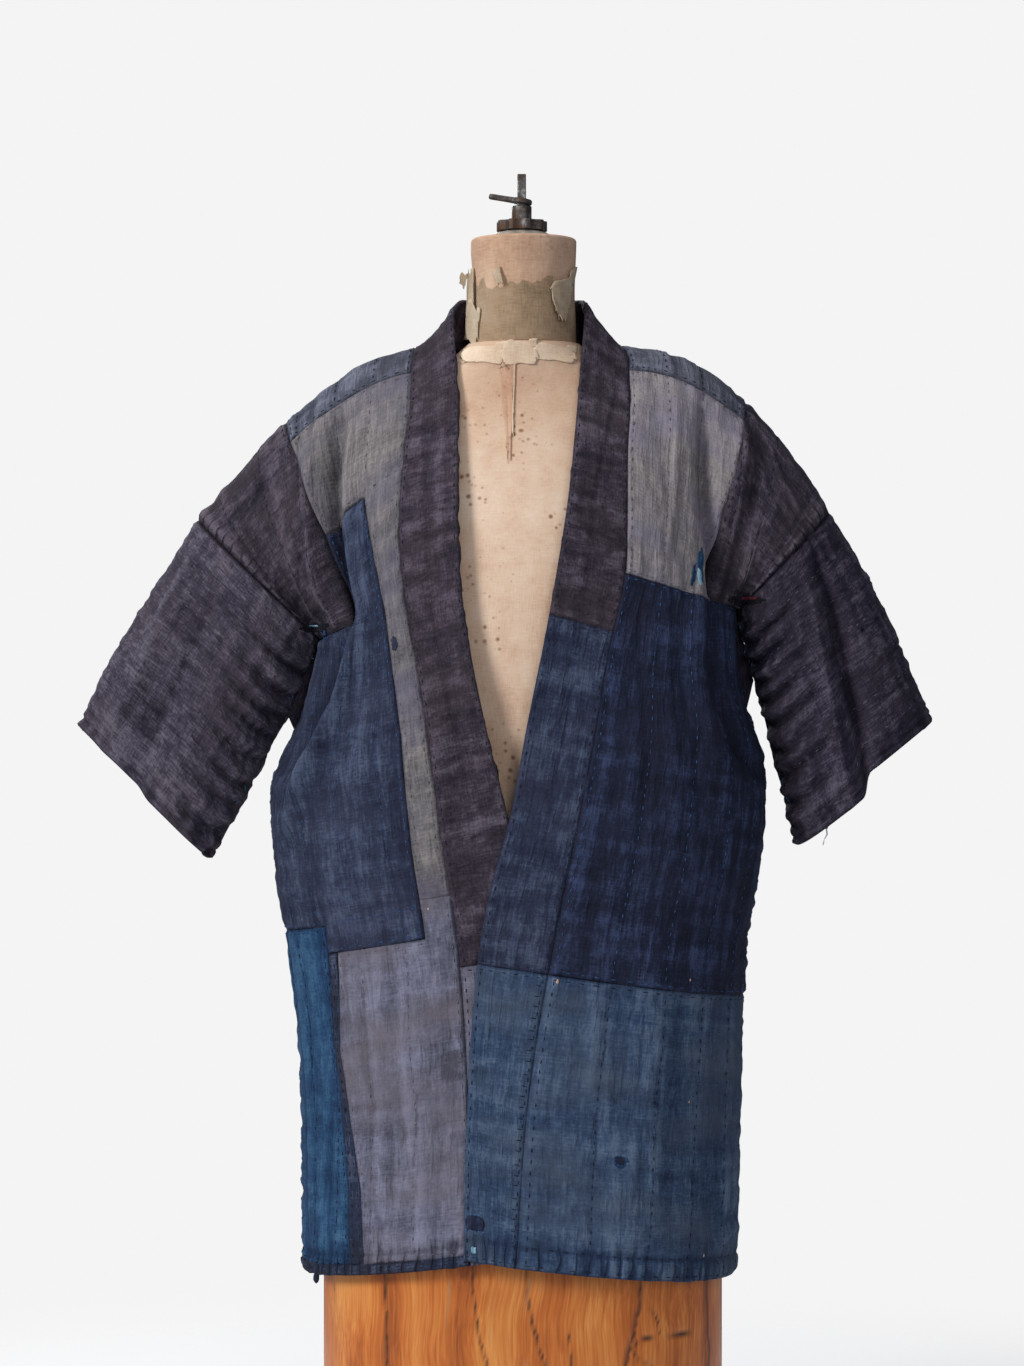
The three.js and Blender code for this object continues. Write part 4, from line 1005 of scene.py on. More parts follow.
@dataclass(frozen=True)
class Iron(Finish):
    """Old cast and forged iron: dark, dull grey-brown, with rust in the hollows."""

    base: str = "#4b4541"
    rust: str = "#5d4232"
    bright: str = "#7b7876"

    def dress(self, tree: bpy.types.NodeTree, shader: bpy.types.Node) -> None:
        """Rust blotches over grey metal, pitted."""
        place = object_place(tree)
        blotches = self.pattern(tree, place, (9.0, 9.0, 9.0), 3.0)
        pits = self.pattern(tree, place, (1.6, 1.6, 1.6), 2.0)
        tone = self.weighed(tree, ((blotches, 1.3), (pits, 0.5)), -0.4)
        colour = ramp(tree, tone, ((0.2, self.bright), (0.5, self.base), (0.75, self.rust)))
        tree.links.new(colour, shader.inputs["Base Color"])
        rough = remap(tree, blotches, (0.3, 0.7), (self.roughness - 0.12, self.roughness + 0.15))
        tree.links.new(rough, shader.inputs["Roughness"])
        self.bump(tree, shader, pits, 0.35, 0.7)


@dataclass(frozen=True)
class Timber(Finish):
    """Oiled and polished trunk wood: warm orange-brown with long grain, pale bands and dry cracks, painted
    near black as shade.
    """

    deep: str = "#8c430f"
    base: str = "#bd6724"
    pale: str = "#dd9449"
    # near black: painted shade in the cracks' narrow gaps
    crack: str = "#2b1a10"
    lichen: str = "#8f8466"

    def dress(self, tree: bpy.types.NodeTree, shader: bpy.types.Node) -> None:
        """Upright grain that wanders, figured bands, grey streaks, and cracks painted near black as shade in
        their gaps.
        """
        place = object_place(tree)
        bend = add(tree, "ShaderNodeTexNoise", {}, {"Vector": place, "Scale": 5.0, "Detail": 2.0})
        shift = add(tree, "ShaderNodeVectorMath", {"operation": "MULTIPLY_ADD"}, {
            0: bend.outputs["Color"], 1: (0.05, 0.05, 0.0), 2: place,
        }).outputs[0]
        bands = self.pattern(tree, shift, (26.0, 26.0, 420.0), 3.0)
        grain = self.pattern(tree, shift, (2.4, 2.4, 130.0), 3.0)
        fine = self.pattern(tree, shift, (1.1, 1.1, 40.0), 1.0)
        figure = self.pattern(tree, shift, (60.0, 60.0, 90.0), 2.0)
        weights = ((bands, 1.5), (grain, 0.8), (fine, 0.3), (figure, 0.7))
        tone = self.weighed(tree, weights, -1.15)
        wood = ramp(tree, tone, ((0.08, self.deep), (0.45, self.base), (0.9, self.pale)))
        streak = self.pattern(tree, shift, (7.0, 7.0, 300.0), 2.0)
        grey = remap(tree, streak, (0.66, 0.76), (0.0, 0.6))
        weathered = blend(tree, grey, wood, linear(self.lichen))
        # the crack attribute paints the cracks near black as shade, over their shallow grooves
        crack = attribute(tree, "crack")
        tree.links.new(blend(tree, crack, weathered, linear(self.crack)), shader.inputs["Base Color"])
        height = self.weighed(tree, ((grain, 0.6), (fine, 0.3), (crack, -1.0)), 0.5)
        self.bump(tree, shader, height, 0.5, 0.5)


@dataclass(frozen=True)
class StudioFloor(Finish):
    """Matt white floor that fades into the background away from the stump."""

    colour: str = "#f4f4f4"
    solid_radius: float = 0.45
    clear_radius: float = 1.35

    def dress(self, tree: bpy.types.NodeTree, shader: bpy.types.Node) -> None:
        """Plain colour, see-through beyond its radius."""
        shader.inputs["Base Color"].default_value = linear(self.colour)
        distance = add(tree, "ShaderNodeVectorMath", {"operation": "LENGTH"}, {0: object_place(tree)})
        radii = (self.solid_radius, self.clear_radius)
        share = remap(tree, distance.outputs["Value"], radii, (1.0, 0.0), "SMOOTHSTEP")
        tree.links.new(share, shader.inputs["Alpha"])


def dyed(name: str, deep: str, base: str, worn: str, warmth: str, **wear: object) -> Cotton:
    """A cotton with its hollows', middle, ridges' and warmer colour, and how it has worn."""
    return Cotton(f"cotton_{name}", deep=deep, base=base, worn=worn, warmth=warmth, **wear)


CAP_WEAR = {"crossing": 0.4, "crumple": (22.0, 9.0, 1.0)}
SLEEVE_WEAR = {"crumple": (5.0, 19.0, 1.0), "crumple_depth": 3.2, "grime": 0.2, "ridge_wear": 0.22}
TAUPE_WEAR = {"warm_share": 0.6, "blotch": 0.25}
COTTONS = {
    # madder over indigo: brown-violet, with pale crosswise yarns
    "plum": dyed("plum", "#211c26", "#39313c", "#5d5561", "#493c3d", **CAP_WEAR),
    "plum_cap": dyed("plum_shoulder", "#1f1b24", "#352f3a", "#5c545f", "#43373a", **CAP_WEAR),
    "plum_sleeve": dyed("plum_sleeve", "#221f2b", "#3f3a48", "#6a6471", "#4c4244", **SLEEVE_WEAR),
    # the wearer's left sleeve: a darker copy of the plum sleeve, painted shade for that side
    "sleeve_left": dyed("plum_painted_darker", "#1a1724", "#302b3a", "#585260", "#3a3138", **SLEEVE_WEAR),
    # undyed cotton gone grey: the palest cloths, with a violet cast
    "taupe": dyed("taupe", "#4a474b", "#6b6768", "#8c8784", "#605c70", streak=0.25, ridge_wear=0.18,
                  crumple_depth=1.7, **TAUPE_WEAR),
    # the wearer's left: a lighter copy of the taupe, painted light for that side
    "taupe_left": dyed("taupe_painted_lighter", "#625e62", "#827c7c", "#9f9997", "#77718a", streak=0.2,
                       ridge_wear=0.15, crumple_depth=1.5, **TAUPE_WEAR),
    "lavender": dyed("lavender", "#444452", "#5f6071", "#7c7c90", "#6b636a", warm_share=0.6, stained=0.3),
    # deep indigo: almost black in the hollows, streaked where the warp has rubbed
    "indigo": dyed("indigo", "#1b2034", "#2b3248", "#49546b", "#37374a", streak=0.75),
    # the wearer's left: a darker copy of the indigo, painted shade for that side
    "indigo_left": dyed("indigo_painted_darker", "#121627", "#1d2339", "#364161", "#2a2a40", streak=0.75),
    "navy": dyed("navy", "#1a2030", "#262e44", "#48536a", "#4a4448"),
    # light and middle indigo: washed blues and blue-greys
    "steel": dyed("steel", "#22314b", "#364964", "#586980", "#475160", warm_share=0.7, crossing=0.4),
    "blue": dyed("blue", "#142c49", "#214263", "#3c607f", "#1d3a66"),
    "yoke": dyed("yoke", "#353842", "#4b4e5c", "#6f7280", "#57555b"),
    "slate": dyed("slate", "#353944", "#4a4f60", "#6a7080", "#55525a"),
    # small mends, a lining's red, and near-black painted shadow for the openings under the arms
    "pale_blue": dyed("pale_blue", "#5d8aa6", "#82aabb", "#a9c8cf", "#8fb0b8"),
    "red": dyed("red", "#3e1620", "#5e212c", "#7e3a44", "#521c28"),
    "black_shadow": dyed("painted_shadow", "#06070b", "#0d0f17", "#1a1d29", "#120f14"),
}
THREADS = {
    "navy_thread": Thread("thread_navy", colour="#121724", worn="#222b41"),
    "faded_thread": Thread("thread_faded_blue", colour="#203860", worn="#385982"),
    "blue_thread": Thread("thread_blue", colour="#2a5a8c", worn="#4d86b4"),
    "pale_thread": Thread("thread_pale", colour="#9aa5ad", worn="#d5d9d8"),
    "grey_thread": Thread("thread_grey", colour="#4b4852", worn="#77737c"),
    "cream_thread": Thread("fluff_cream", colour="#b8927a", worn="#d8b59c"),
}


# ---------------------------------------------------------------- helpers for meshes


def finished(bm: bmesh.types.BMesh, name: str, finish: Finish,
             replaces: tuple[str, ...] = ()) -> bpy.types.Object:
    """Turns a bmesh into a piece that rides the part.

    Args:
        bm: The mesh, in metres. It is freed.
        name: The piece's name.
        finish: Its material.
        replaces: CAD nodes that it stands for.

    Returns:
        The new object.
    """
    mesh = bpy.data.meshes.new(name)
    bm.to_mesh(mesh)
    bm.free()
    mesh.polygons.foreach_set("use_smooth", np.ones(len(mesh.polygons), bool))
    mesh.materials.append(finish.material())
    piece = bpy.data.objects.new(name, mesh)
    bpy.context.scene.collection.objects.link(piece)
    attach(piece, ROOT)
    if replaces:
        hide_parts(*replaces)
    log.info("%s: %d faces", name, len(mesh.polygons))
    return piece


def give_attribute(mesh: bpy.types.Mesh, name: str, values: np.ndarray) -> None:
    """Stores one number for each vertex."""
    mesh.attributes.new(name, "FLOAT", "POINT").data.foreach_set("value", values.astype(np.float32))


def give_cloth_map(mesh: bpy.types.Mesh, flat: np.ndarray, ridge: np.ndarray, seam: np.ndarray) -> None:
    """Stores what the cottons read.

    Args:
        mesh: The mesh.
        flat: Place of each vertex on the flat cloth, in metres.
        ridge: Above 0 on rubbed ridges and below 0 in hollows: paler as worn cloth on the ridges, darker as
            painted shade in the hollows.
        seam: 1 at a seam.
    """
    give_attribute(mesh, "ridge", ridge)
    give_attribute(mesh, "seam", seam)
    corners = np.zeros(len(mesh.loops), np.int32)
    mesh.loops.foreach_get("vertex_index", corners)
    cloth_map = mesh.uv_layers.new(name="cloth")
    cloth_map.uv.foreach_set("vector", flat[corners].astype(np.float32).ravel())


def give_wall(piece: bpy.types.Object, thickness: float, offset: float = -1.0) -> None:
    """Thickens a shell by millimetres: inwards at offset -1, outwards at 1."""
    wall = piece.modifiers.new("wall", "SOLIDIFY")
    wall.thickness = thickness * MM
    wall.offset = offset


def fill_steps(stops: Iterable[float], step: float) -> np.ndarray:
    """All stops, with even steps no longer than step between them."""
    stops = list(stops)
    values = [stops[0]]
    for low, high in zip(stops, stops[1:]):
        count = max(1, math.ceil(abs(high - low) / step - 1e-6))
        values += [low + (high - low) * (k + 1) / count for k in range(count)]
    return np.array(values)


def lattice(bm: bmesh.types.BMesh, columns: int, rows: int) -> tuple[np.ndarray, np.ndarray]:
    """Makes a grid in a bmesh.

    Args:
        bm: The empty bmesh.
        columns: Cells across.
        rows: Cells up.

    Returns:
        Column and row number of each vertex.
    """
    bmesh.ops.create_grid(bm, x_segments=columns, y_segments=rows, size=0.5)
    return lattice_places(bm, columns, rows)


def lattice_places(bm: bmesh.types.BMesh, columns: int, rows: int) -> tuple[np.ndarray, np.ndarray]:
    """Column and row number of each vertex of an unmoved grid."""
    co = np.array([vertex.co[:2] for vertex in bm.verts])
    return (
        np.rint((co[:, 0] + 0.5) * columns).astype(int),
        np.rint((co[:, 1] + 0.5) * rows).astype(int),
    )


def place_vertices(bm: bmesh.types.BMesh, points: np.ndarray) -> None:
    """Moves every vertex of a bmesh."""
    for vertex, point in zip(bm.verts, points.tolist()):
        vertex.co = point


# ---------------------------------------------------------------- the jacket


@dataclass(frozen=True)
class Wrinkles:
    """How a cloth's surface is worked, in millimetres."""

    crinkle: float
    crosswise: float
    quilt_pitch: float
    quilt_depth: float
    pucker: float
    billow: float
    nub: float


WRINKLES = {
    Weave.BODY: Wrinkles(1.1, 0.75, 41.0, 1.3, 1.6, 2.4, 0.45),
    Weave.SLEEVE: Wrinkles(0.9, 1.1, 37.0, 1.7, 1.9, 2.2, 0.6),
    Weave.BAND: Wrinkles(0.5, 1.2, 200.0, 0.0, 1.0, 1.3, 0.4),
}
SPANS = {Weave.BODY: BODY_SPAN, Weave.SLEEVE: SLEEVE_SPAN, Weave.BAND: BAND_SPAN}
SEEDS = {Side.LEFT: 11, Side.RIGHT: 47}


@dataclass
class Sheet:
    """One cut piece of cloth on the jacket's lattice."""

    name: str
    finish: str
    runs: tuple[tuple[Side, float, float], ...]
    areas: tuple[tuple[float, float, float, float], ...]
    weave: Weave = Weave.BODY
    wall: float = CLOTH_WALL
    lift: float = 0.0
    thread: str = "navy_thread"
    held: str = "draped"
    tree: Optional[BVHTree] = field(default=None, repr=False)

    def holds(self, column: float, along: float) -> bool:
        """Whether a point of the lattice is on this piece."""
        return any(a < along < b and c < column < d for a, b, c, d in self.areas)

    def lattice_rows(self) -> list[tuple[Side, float]]:
        """Fine rows in the order in which they are joined."""
        stops = sorted({value for area in self.areas for value in area[:2]} | set(ROW.values()))
        rows: list[tuple[Side, float]] = []
        for side, first, last in self.runs:
            inside = [value for value in stops if min(first, last) < value < max(first, last)]
            keys = [first, *(inside if first < last else inside[::-1]), last]
            values = fill_steps(keys, LATTICE_STEP)
            rows += [(side, value) for value in (values[1:] if rows else values)]
        return rows

    def lattice_columns(self) -> np.ndarray:
        """Fine columns."""
        first = min(area[2] for area in self.areas)
        last = max(area[3] for area in self.areas)
        widths = {"edge": 20.0, "seam": 13.5, "strip": 21.0, "cap": 16.0, "trim": 17.5, "side": 25.0}
        names = list(COLUMN)
        values = np.array([first])
        for low, high in zip(names, names[1:]):
            a, b = max(COLUMN[low], first), min(COLUMN[high], last)
            if b > a:
                values = np.concatenate([values, fill_steps((a, b), LATTICE_STEP / widths[low])[1:]])
        return values

    def relief(self, side: Side, across: np.ndarray, along: np.ndarray, row_gap: np.ndarray,
               column_gap: np.ndarray) -> tuple[np.ndarray, np.ndarray]:
        """Fine relief over the folds.

        Args:
            side: The wearer's side.
            across: Cloth coordinate.
            along: Cloth coordinate, in millimetres.
            row_gap: Distance to the nearest end of the piece, in millimetres.
            column_gap: Distance to the nearest long edge of the piece, in millimetres.

        Returns:
            The height in millimetres, and its fine part alone.
        """
        w = WRINKLES[self.weave]
        seed = SEEDS[side]
        u, v = across * SPANS[self.weave], along
        edge_gap = np.minimum(row_gap, column_gap)
        fade = ease(edge_gap / EDGE_FADE)
        billow = w.billow * ripple(u, v, 62.0, 105.0, seed + 1)
        fine = (self.crinkles(w, u, v, seed) + self.quilting(w, u, v, seed)) * fade
        gather_u = ripple(u, v, 6.2, 70.0, seed + 9) * np.exp(-row_gap / 13.0)
        gather_v = ripple(u, v, 70.0, 6.8, seed + 10) * np.exp(-column_gap / 9.0)
        fine += w.pucker * (gather_u * 1.3 + gather_v) * ease(edge_gap / 2.5)
        groove = -0.7 * soft_line(edge_gap, 2.0) * (1.0 + 0.5 * ripple(u, v, 12.0, 12.0, seed + 11))
        fine += self.borders(across, u, v, seed)
        return billow * fade + fine + groove + self.lift * ease(edge_gap / 1.5), fine

    def crinkles(self, w: Wrinkles, u: np.ndarray, v: np.ndarray, seed: int) -> np.ndarray:
        """Washed-in crinkles: long ones with the warp, short ones across it, and the yarns' nubs."""
        return (
            w.crinkle * ripple(u, v, 10.5, 95.0, seed + 2)
            + w.crinkle * 0.5 * ripple(u, v, 5.5, 42.0, seed + 3)
            + w.crosswise * ripple(u, v, 55.0, 9.0, seed + 4)
            + w.nub * ripple(u, v, 5.6, 6.4, seed + 5)
        )

    def quilting(self, w: Wrinkles, u: np.ndarray, v: np.ndarray, seed: int) -> np.ndarray:
        """Dents along the quilted lines, and the puffs between their stitches."""
        wander = 2.5 * ripple(u, v, 90.0, 70.0, seed + 6)
        from_line = from_lines((v if self.weave is Weave.BAND else u) + wander, w.quilt_pitch)
        dents = (0.7 + 0.5 * ripple(u, v, 5.0, 4.2, seed + 7)) * soft_line(from_line, 2.0)
        puffs = 0.6 * np.abs(ripple(u, v, 9.0, 7.0, seed + 8)) * soft_line(from_line, 7.0)
        return w.quilt_depth * (puffs - dents)

    def borders(self, across: np.ndarray, u: np.ndarray, v: np.ndarray, seed: int) -> np.ndarray:
        """Hem, armhole, cuff and side: where the cloth is turned in, sewn down and tucked.

        Args:
            across: Cloth coordinate.
            u: Place across the flat cloth, in millimetres.
            v: Place along it, in millimetres.
            seed: Chooses the pattern.

        Returns:
            Heights in millimetres.
        """
        from_armhole = np.abs(across - 1.0) * BODY_SPAN
        on_shoulder = (v > ROW["armpit"]) & (v < ROW["back_armpit"])
        roll = 1.7 * soft_line(from_armhole - ARMHOLE_ROLL, 3.6) - 1.4 * soft_line(from_armhole, 2.6)
        height = roll * on_shoulder * (0.75 + 0.35 * ripple(u, v, 200.0, 9.0, seed + 14))
        if self.weave is Weave.SLEEVE:
            from_cuff = (2.0 - across) * SLEEVE_SPAN
            by_cuff = np.exp(-from_cuff / 16.0) * ease(from_cuff / 3.0)
            height += ripple(u, v, 200.0, 8.0, seed + 15) * by_cuff
            return height - 1.7 * soft_line(from_cuff - CUFF_LINE, 1.9)
        from_hem = np.minimum(np.abs(v), np.abs(v - ROW["back_hem"]))
        by_hem = ease((HEM_TUCK - from_hem) / 16.0) * ease(from_hem / 4.0)
        from_tuck = from_lines(u + 4.0 * ripple(u, v, 31.0, 60.0, seed + 12), HEM_GATHER)
        tucks = by_hem * soft_line(from_tuck, 1.9) * (0.6 + 0.5 * ripple(u, v, 14.0, 200.0, seed + 13))
        height -= 2.6 * tucks + 1.5 * soft_line(from_hem - HEM_LINE, 2.2)
        by_side = np.exp(-from_armhole / 15.0) * ~on_shoulder * ease(from_armhole / 3.0)
        return height + 1.9 * ripple(u, v, 60.0, 8.0, seed + 16) * by_side

    def build(self) -> None:
        """Builds the sheet, with its thickness as a modifier."""
        rows, columns = self.lattice_rows(), self.lattice_columns()
        bm = bmesh.new()
        column_cells, row_cells = len(columns) - 1, len(rows) - 1
        lattice(bm, column_cells, row_cells)
        outside = []
        for face in bm.faces:
            centre = face.calc_center_median()
            i = int((centre.x + 0.5) * column_cells)
            j = int((centre.y + 0.5) * row_cells)
            column = (columns[i] + columns[i + 1]) / 2.0
            along = (rows[j][1] + rows[j + 1][1]) / 2.0
            if not self.holds(column, along):
                outside.append(face)
        bmesh.ops.delete(bm, geom=outside, context="FACES")
        i, j = lattice_places(bm, column_cells, row_cells)
        column = columns[i]
        along = np.array([row[1] for row in rows])[j]
        on_left = np.array([row[0] is Side.LEFT for row in rows])[j]
        across = np.zeros(len(i))
        base = np.zeros((len(i), 3))
        normal = np.zeros((len(i), 3))
        folds = np.zeros(len(i))
        for side, here in ((Side.LEFT, on_left), (Side.RIGHT, ~on_left)):
            if not here.any():
                continue
            surface = SURFACES[side]
            across[here] = surface.column_across(column[here], along[here], self.weave is Weave.SLEEVE)
            base[here] = surface.plain_point(across[here], along[here])
            normal[here] = surface.normal(across[here], along[here])
            folds[here] = surface.fold_height(across[here], along[here])
        row_gap, column_gap = self.edge_gaps(bm, base, column, along)
        height = np.zeros(len(i))
        fine = np.zeros(len(i))
        for side, here in ((Side.LEFT, on_left), (Side.RIGHT, ~on_left)):
            if here.any():
                gaps = (row_gap[here], column_gap[here])
                height[here], fine[here] = self.relief(side, across[here], along[here], *gaps)
                # the folds' troughs and creases join the ridge attribute, which paints them darker as shade
                fine[here] += SURFACES[side].cavity_shade(across[here], along[here])
        points = (base + normal * (folds + height)[:, None]) * MM
        place_vertices(bm, points)
        area = sum(face.calc_area() for face in bm.faces)
        span = np.where(across > 1.0, SLEEVE_SPAN, np.where(across < 0.0, BAND_SPAN, BODY_SPAN))
        u = across * span * MM + np.where(on_left, 0.0, SIDE_SHIFT)
        flat = np.column_stack([u, along * MM])
        if self.weave is Weave.SLEEVE:
            bmesh.ops.remove_doubles(bm, verts=bm.verts, dist=0.02 * MM)
        self.tree = BVHTree.FromBMesh(bm)
        piece = self.dressed(bm, points, flat, fine, np.minimum(row_gap, column_gap))
        width = area / (self.length() * MM)
        round(self.length() * MM, 3)

    def length(self) -> float:
        """How long the piece was cut, in millimetres."""
        if self.weave is Weave.SLEEVE:
            return SLEEVE_SPAN
        return sum(abs(last - first) for _, first, last in self.runs)

    def edge_gaps(self, bm: bmesh.types.BMesh, base: np.ndarray, column: np.ndarray,
                  along: np.ndarray) -> tuple[np.ndarray, np.ndarray]:
        """Distance of each vertex from the piece's ends and from its long edges.

        Args:
            bm: The grid, still flat.
            base: Unfolded points, in millimetres.
            column: Lattice column of each vertex.
            along: Lattice row of each vertex.

        Returns:
            Two arrays in millimetres.
        """
        bm.verts.index_update()
        on_row, on_column = set(), set()
        for edge in bm.edges:
            if not edge.is_boundary:
                continue
            a, b = (vertex.index for vertex in edge.verts)
            (on_row if abs(column[a] - column[b]) > 1e-6 else on_column).update((a, b))
        gaps = []
        for members in (on_row, on_column):
            tree = KDTree(max(len(members), 1))
            for place in members:
                tree.insert(base[place], place)
            tree.balance()
            if members:
                gaps.append(np.array([tree.find(point)[2] for point in base]))
            else:
                gaps.append(np.full(len(base), 1e3))
        return gaps[0], gaps[1]

    def dressed(self, bm: bmesh.types.BMesh, points: np.ndarray, flat: np.ndarray, fine: np.ndarray,
                edge_gap: np.ndarray) -> bpy.types.Object:
        """Gives the mesh its cloth map, its wear and its thickness.

        Args:
            bm: The shaped mesh.
            points: Its vertices before doubles were merged.
            flat: Their flat places, in metres.
            fine: Their fine relief, with the troughs and creases of the folds.
            edge_gap: Their distance from the piece's edge.

        Returns:
            The finished piece.
        """
        # ridge: paler on the relief's crests as worn cloth, darker in hollows, troughs and creases as painted
        # shade
        ridge = np.clip(fine / 1.5, -1.6, 1.3)
        seam = soft_line(edge_gap, 1.6)
        if len(bm.verts) != len(points):
            tree = KDTree(len(points))
            for place, point in enumerate(points):
                tree.insert(point, place)
            tree.balance()
            kept = np.array([tree.find(vertex.co)[1] for vertex in bm.verts])
            flat, ridge, seam = flat[kept], ridge[kept], seam[kept]
        piece = finished(bm, f"{self.name}_cloth", COTTONS[self.finish], (self.name,))
        give_cloth_map(piece.data, flat, ridge, seam)
        give_wall(piece, self.wall)
        return piece

    def landing(self, point: np.ndarray, up: np.ndarray) -> Optional[tuple[Vector, Vector]]:
        """Where a straight drop onto the sheet lands, with the normal there.

        Args:
            point: A point near the sheet, in metres.
            up: The unfolded surface's normal there.

        Returns:
            The place and its normal, or None beyond the sheet's outline.
        """
        start = Vector(point) + Vector(up) * (DROP_HEIGHT * MM)
        location, normal, _, _ = self.tree.ray_cast(start, -Vector(up), 2.0 * DROP_HEIGHT * MM)
        if location is None:
            return None
        return location, normal if normal.dot(Vector(up)) > 0.0 else -normal


def side_sheet(name: str, side: Side, finish: str, areas: tuple[tuple[str, str, str, str], ...],
               **options: object) -> Sheet:
    """A sheet on one side, from areas between named rows and columns.

    Args:
        name: The CAD node.
        side: The wearer's side.
        finish: Its cotton.
        areas: (from row, to row, from column, to column) names.
        options: Other fields of the sheet.

    Returns:
        The sheet.
    """
    numbers = tuple((ROW[a], ROW[b], COLUMN[c], COLUMN[d]) for a, b, c, d in areas)
    low = min(area[0] for area in numbers)
    high = max(area[1] for area in numbers)
    run = (side, low, high) if side is Side.LEFT else (side, high, low)
    return Sheet(name, finish, (run,), numbers, **options)


def jacket_sheets() -> list[Sheet]:
    """Every cut piece of the jacket, as the patchwork shows."""
    band = {"weave": Weave.BAND, "wall": BAND_WALL}
    sleeve = {"weave": Weave.SLEEVE, "held": "hung"}
    collar = Sheet(
        "band_collar", "plum",
        ((L, ROW["band_join"], ROW["neck_back"]), (R, ROW["neck_back"], ROW["band_end"])),
        ((ROW["hem"], ROW["back_hem"], COLUMN["edge"], COLUMN["seam"]),), **band)
    return [
        side_sheet("front_left_skirt", L, "steel", (("hem", "left_waist", "seam", "side"),)),
        side_sheet("front_left_chest", L, "indigo_left", (("left_waist", "armpit", "seam", "side"),),
                   lift=0.4, thread="faded_thread"),
        side_sheet("front_left_shoulder", L, "taupe_left", (("armpit", "shoulder", "seam", "cap"),), lift=0.3,
                   thread="grey_thread"),
        side_sheet("cap_left", L, "plum_cap", (("armpit", "back_armpit", "cap", "side"),)),
        side_sheet("yoke_left", L, "yoke", (("shoulder", "yoke_foot", "seam", "cap"),)),
        side_sheet("back_left_main", L, "indigo", (
            ("yoke_foot", "back_armpit", "seam", "cap"), ("back_armpit", "back_waist", "seam", "side"))),
        side_sheet("back_left_lower", L, "steel", (("back_waist", "back_hem", "seam", "side"),)),
        side_sheet("front_right_binding", R, "navy", (("hem", "binding", "seam", "side"),)),
        side_sheet("front_right_skirt", R, "lavender", (
            ("binding", "patch_foot", "strip", "cap"), ("binding", "strip_foot", "seam", "strip")),
                   thread="grey_thread"),
        side_sheet("front_right_trim", R, "navy", (("binding", "patch_foot", "cap", "trim"),)),
        side_sheet("front_right_side", R, "blue", (("binding", "side_top", "trim", "side"),), lift=0.4),
        side_sheet("front_right_chest", R, "indigo", (
            ("patch_foot", "side_top", "strip", "trim"), ("side_top", "armpit", "strip", "side"),
            ("armpit", "patch_top", "strip", "cap")), lift=0.5, thread="faded_thread"),
        side_sheet("front_right_shoulder", R, "taupe", (
            ("strip_foot", "patch_top", "seam", "strip"), ("patch_top", "shoulder", "seam", "cap")),
                   thread="grey_thread"),
        side_sheet("cap_right", R, "plum_cap", (("armpit", "back_armpit", "cap", "side"),)),
        side_sheet("yoke_right", R, "yoke", (("shoulder", "yoke_foot", "seam", "cap"),)),
        side_sheet("back_right_main", R, "slate", (
            ("yoke_foot", "back_armpit", "seam", "cap"), ("back_armpit", "back_patch", "seam", "side"))),
        side_sheet("back_right_patch", R, "indigo", (("back_patch", "back_waist", "seam", "side"),),
                   lift=0.4),
        side_sheet("back_right_lower", R, "lavender", (("back_waist", "back_hem", "seam", "side"),),
                   thread="grey_thread"),
        collar,
        side_sheet("band_left_middle", L, "indigo", (("left_waist", "band_join", "edge", "seam"),), **band),
        side_sheet("band_left_lower", L, "steel", (("hem", "left_waist", "edge", "seam"),), **band),
        side_sheet("band_right_lower", R, "lavender", (("hem", "band_end", "edge", "seam"),), **band),
        side_sheet("sleeve_left", L, "sleeve_left", (("armpit", "back_armpit", "side", "cuff"),), **sleeve),
        side_sheet("sleeve_right", R, "plum_sleeve", (("armpit", "back_armpit", "side", "cuff"),), **sleeve),
    ]


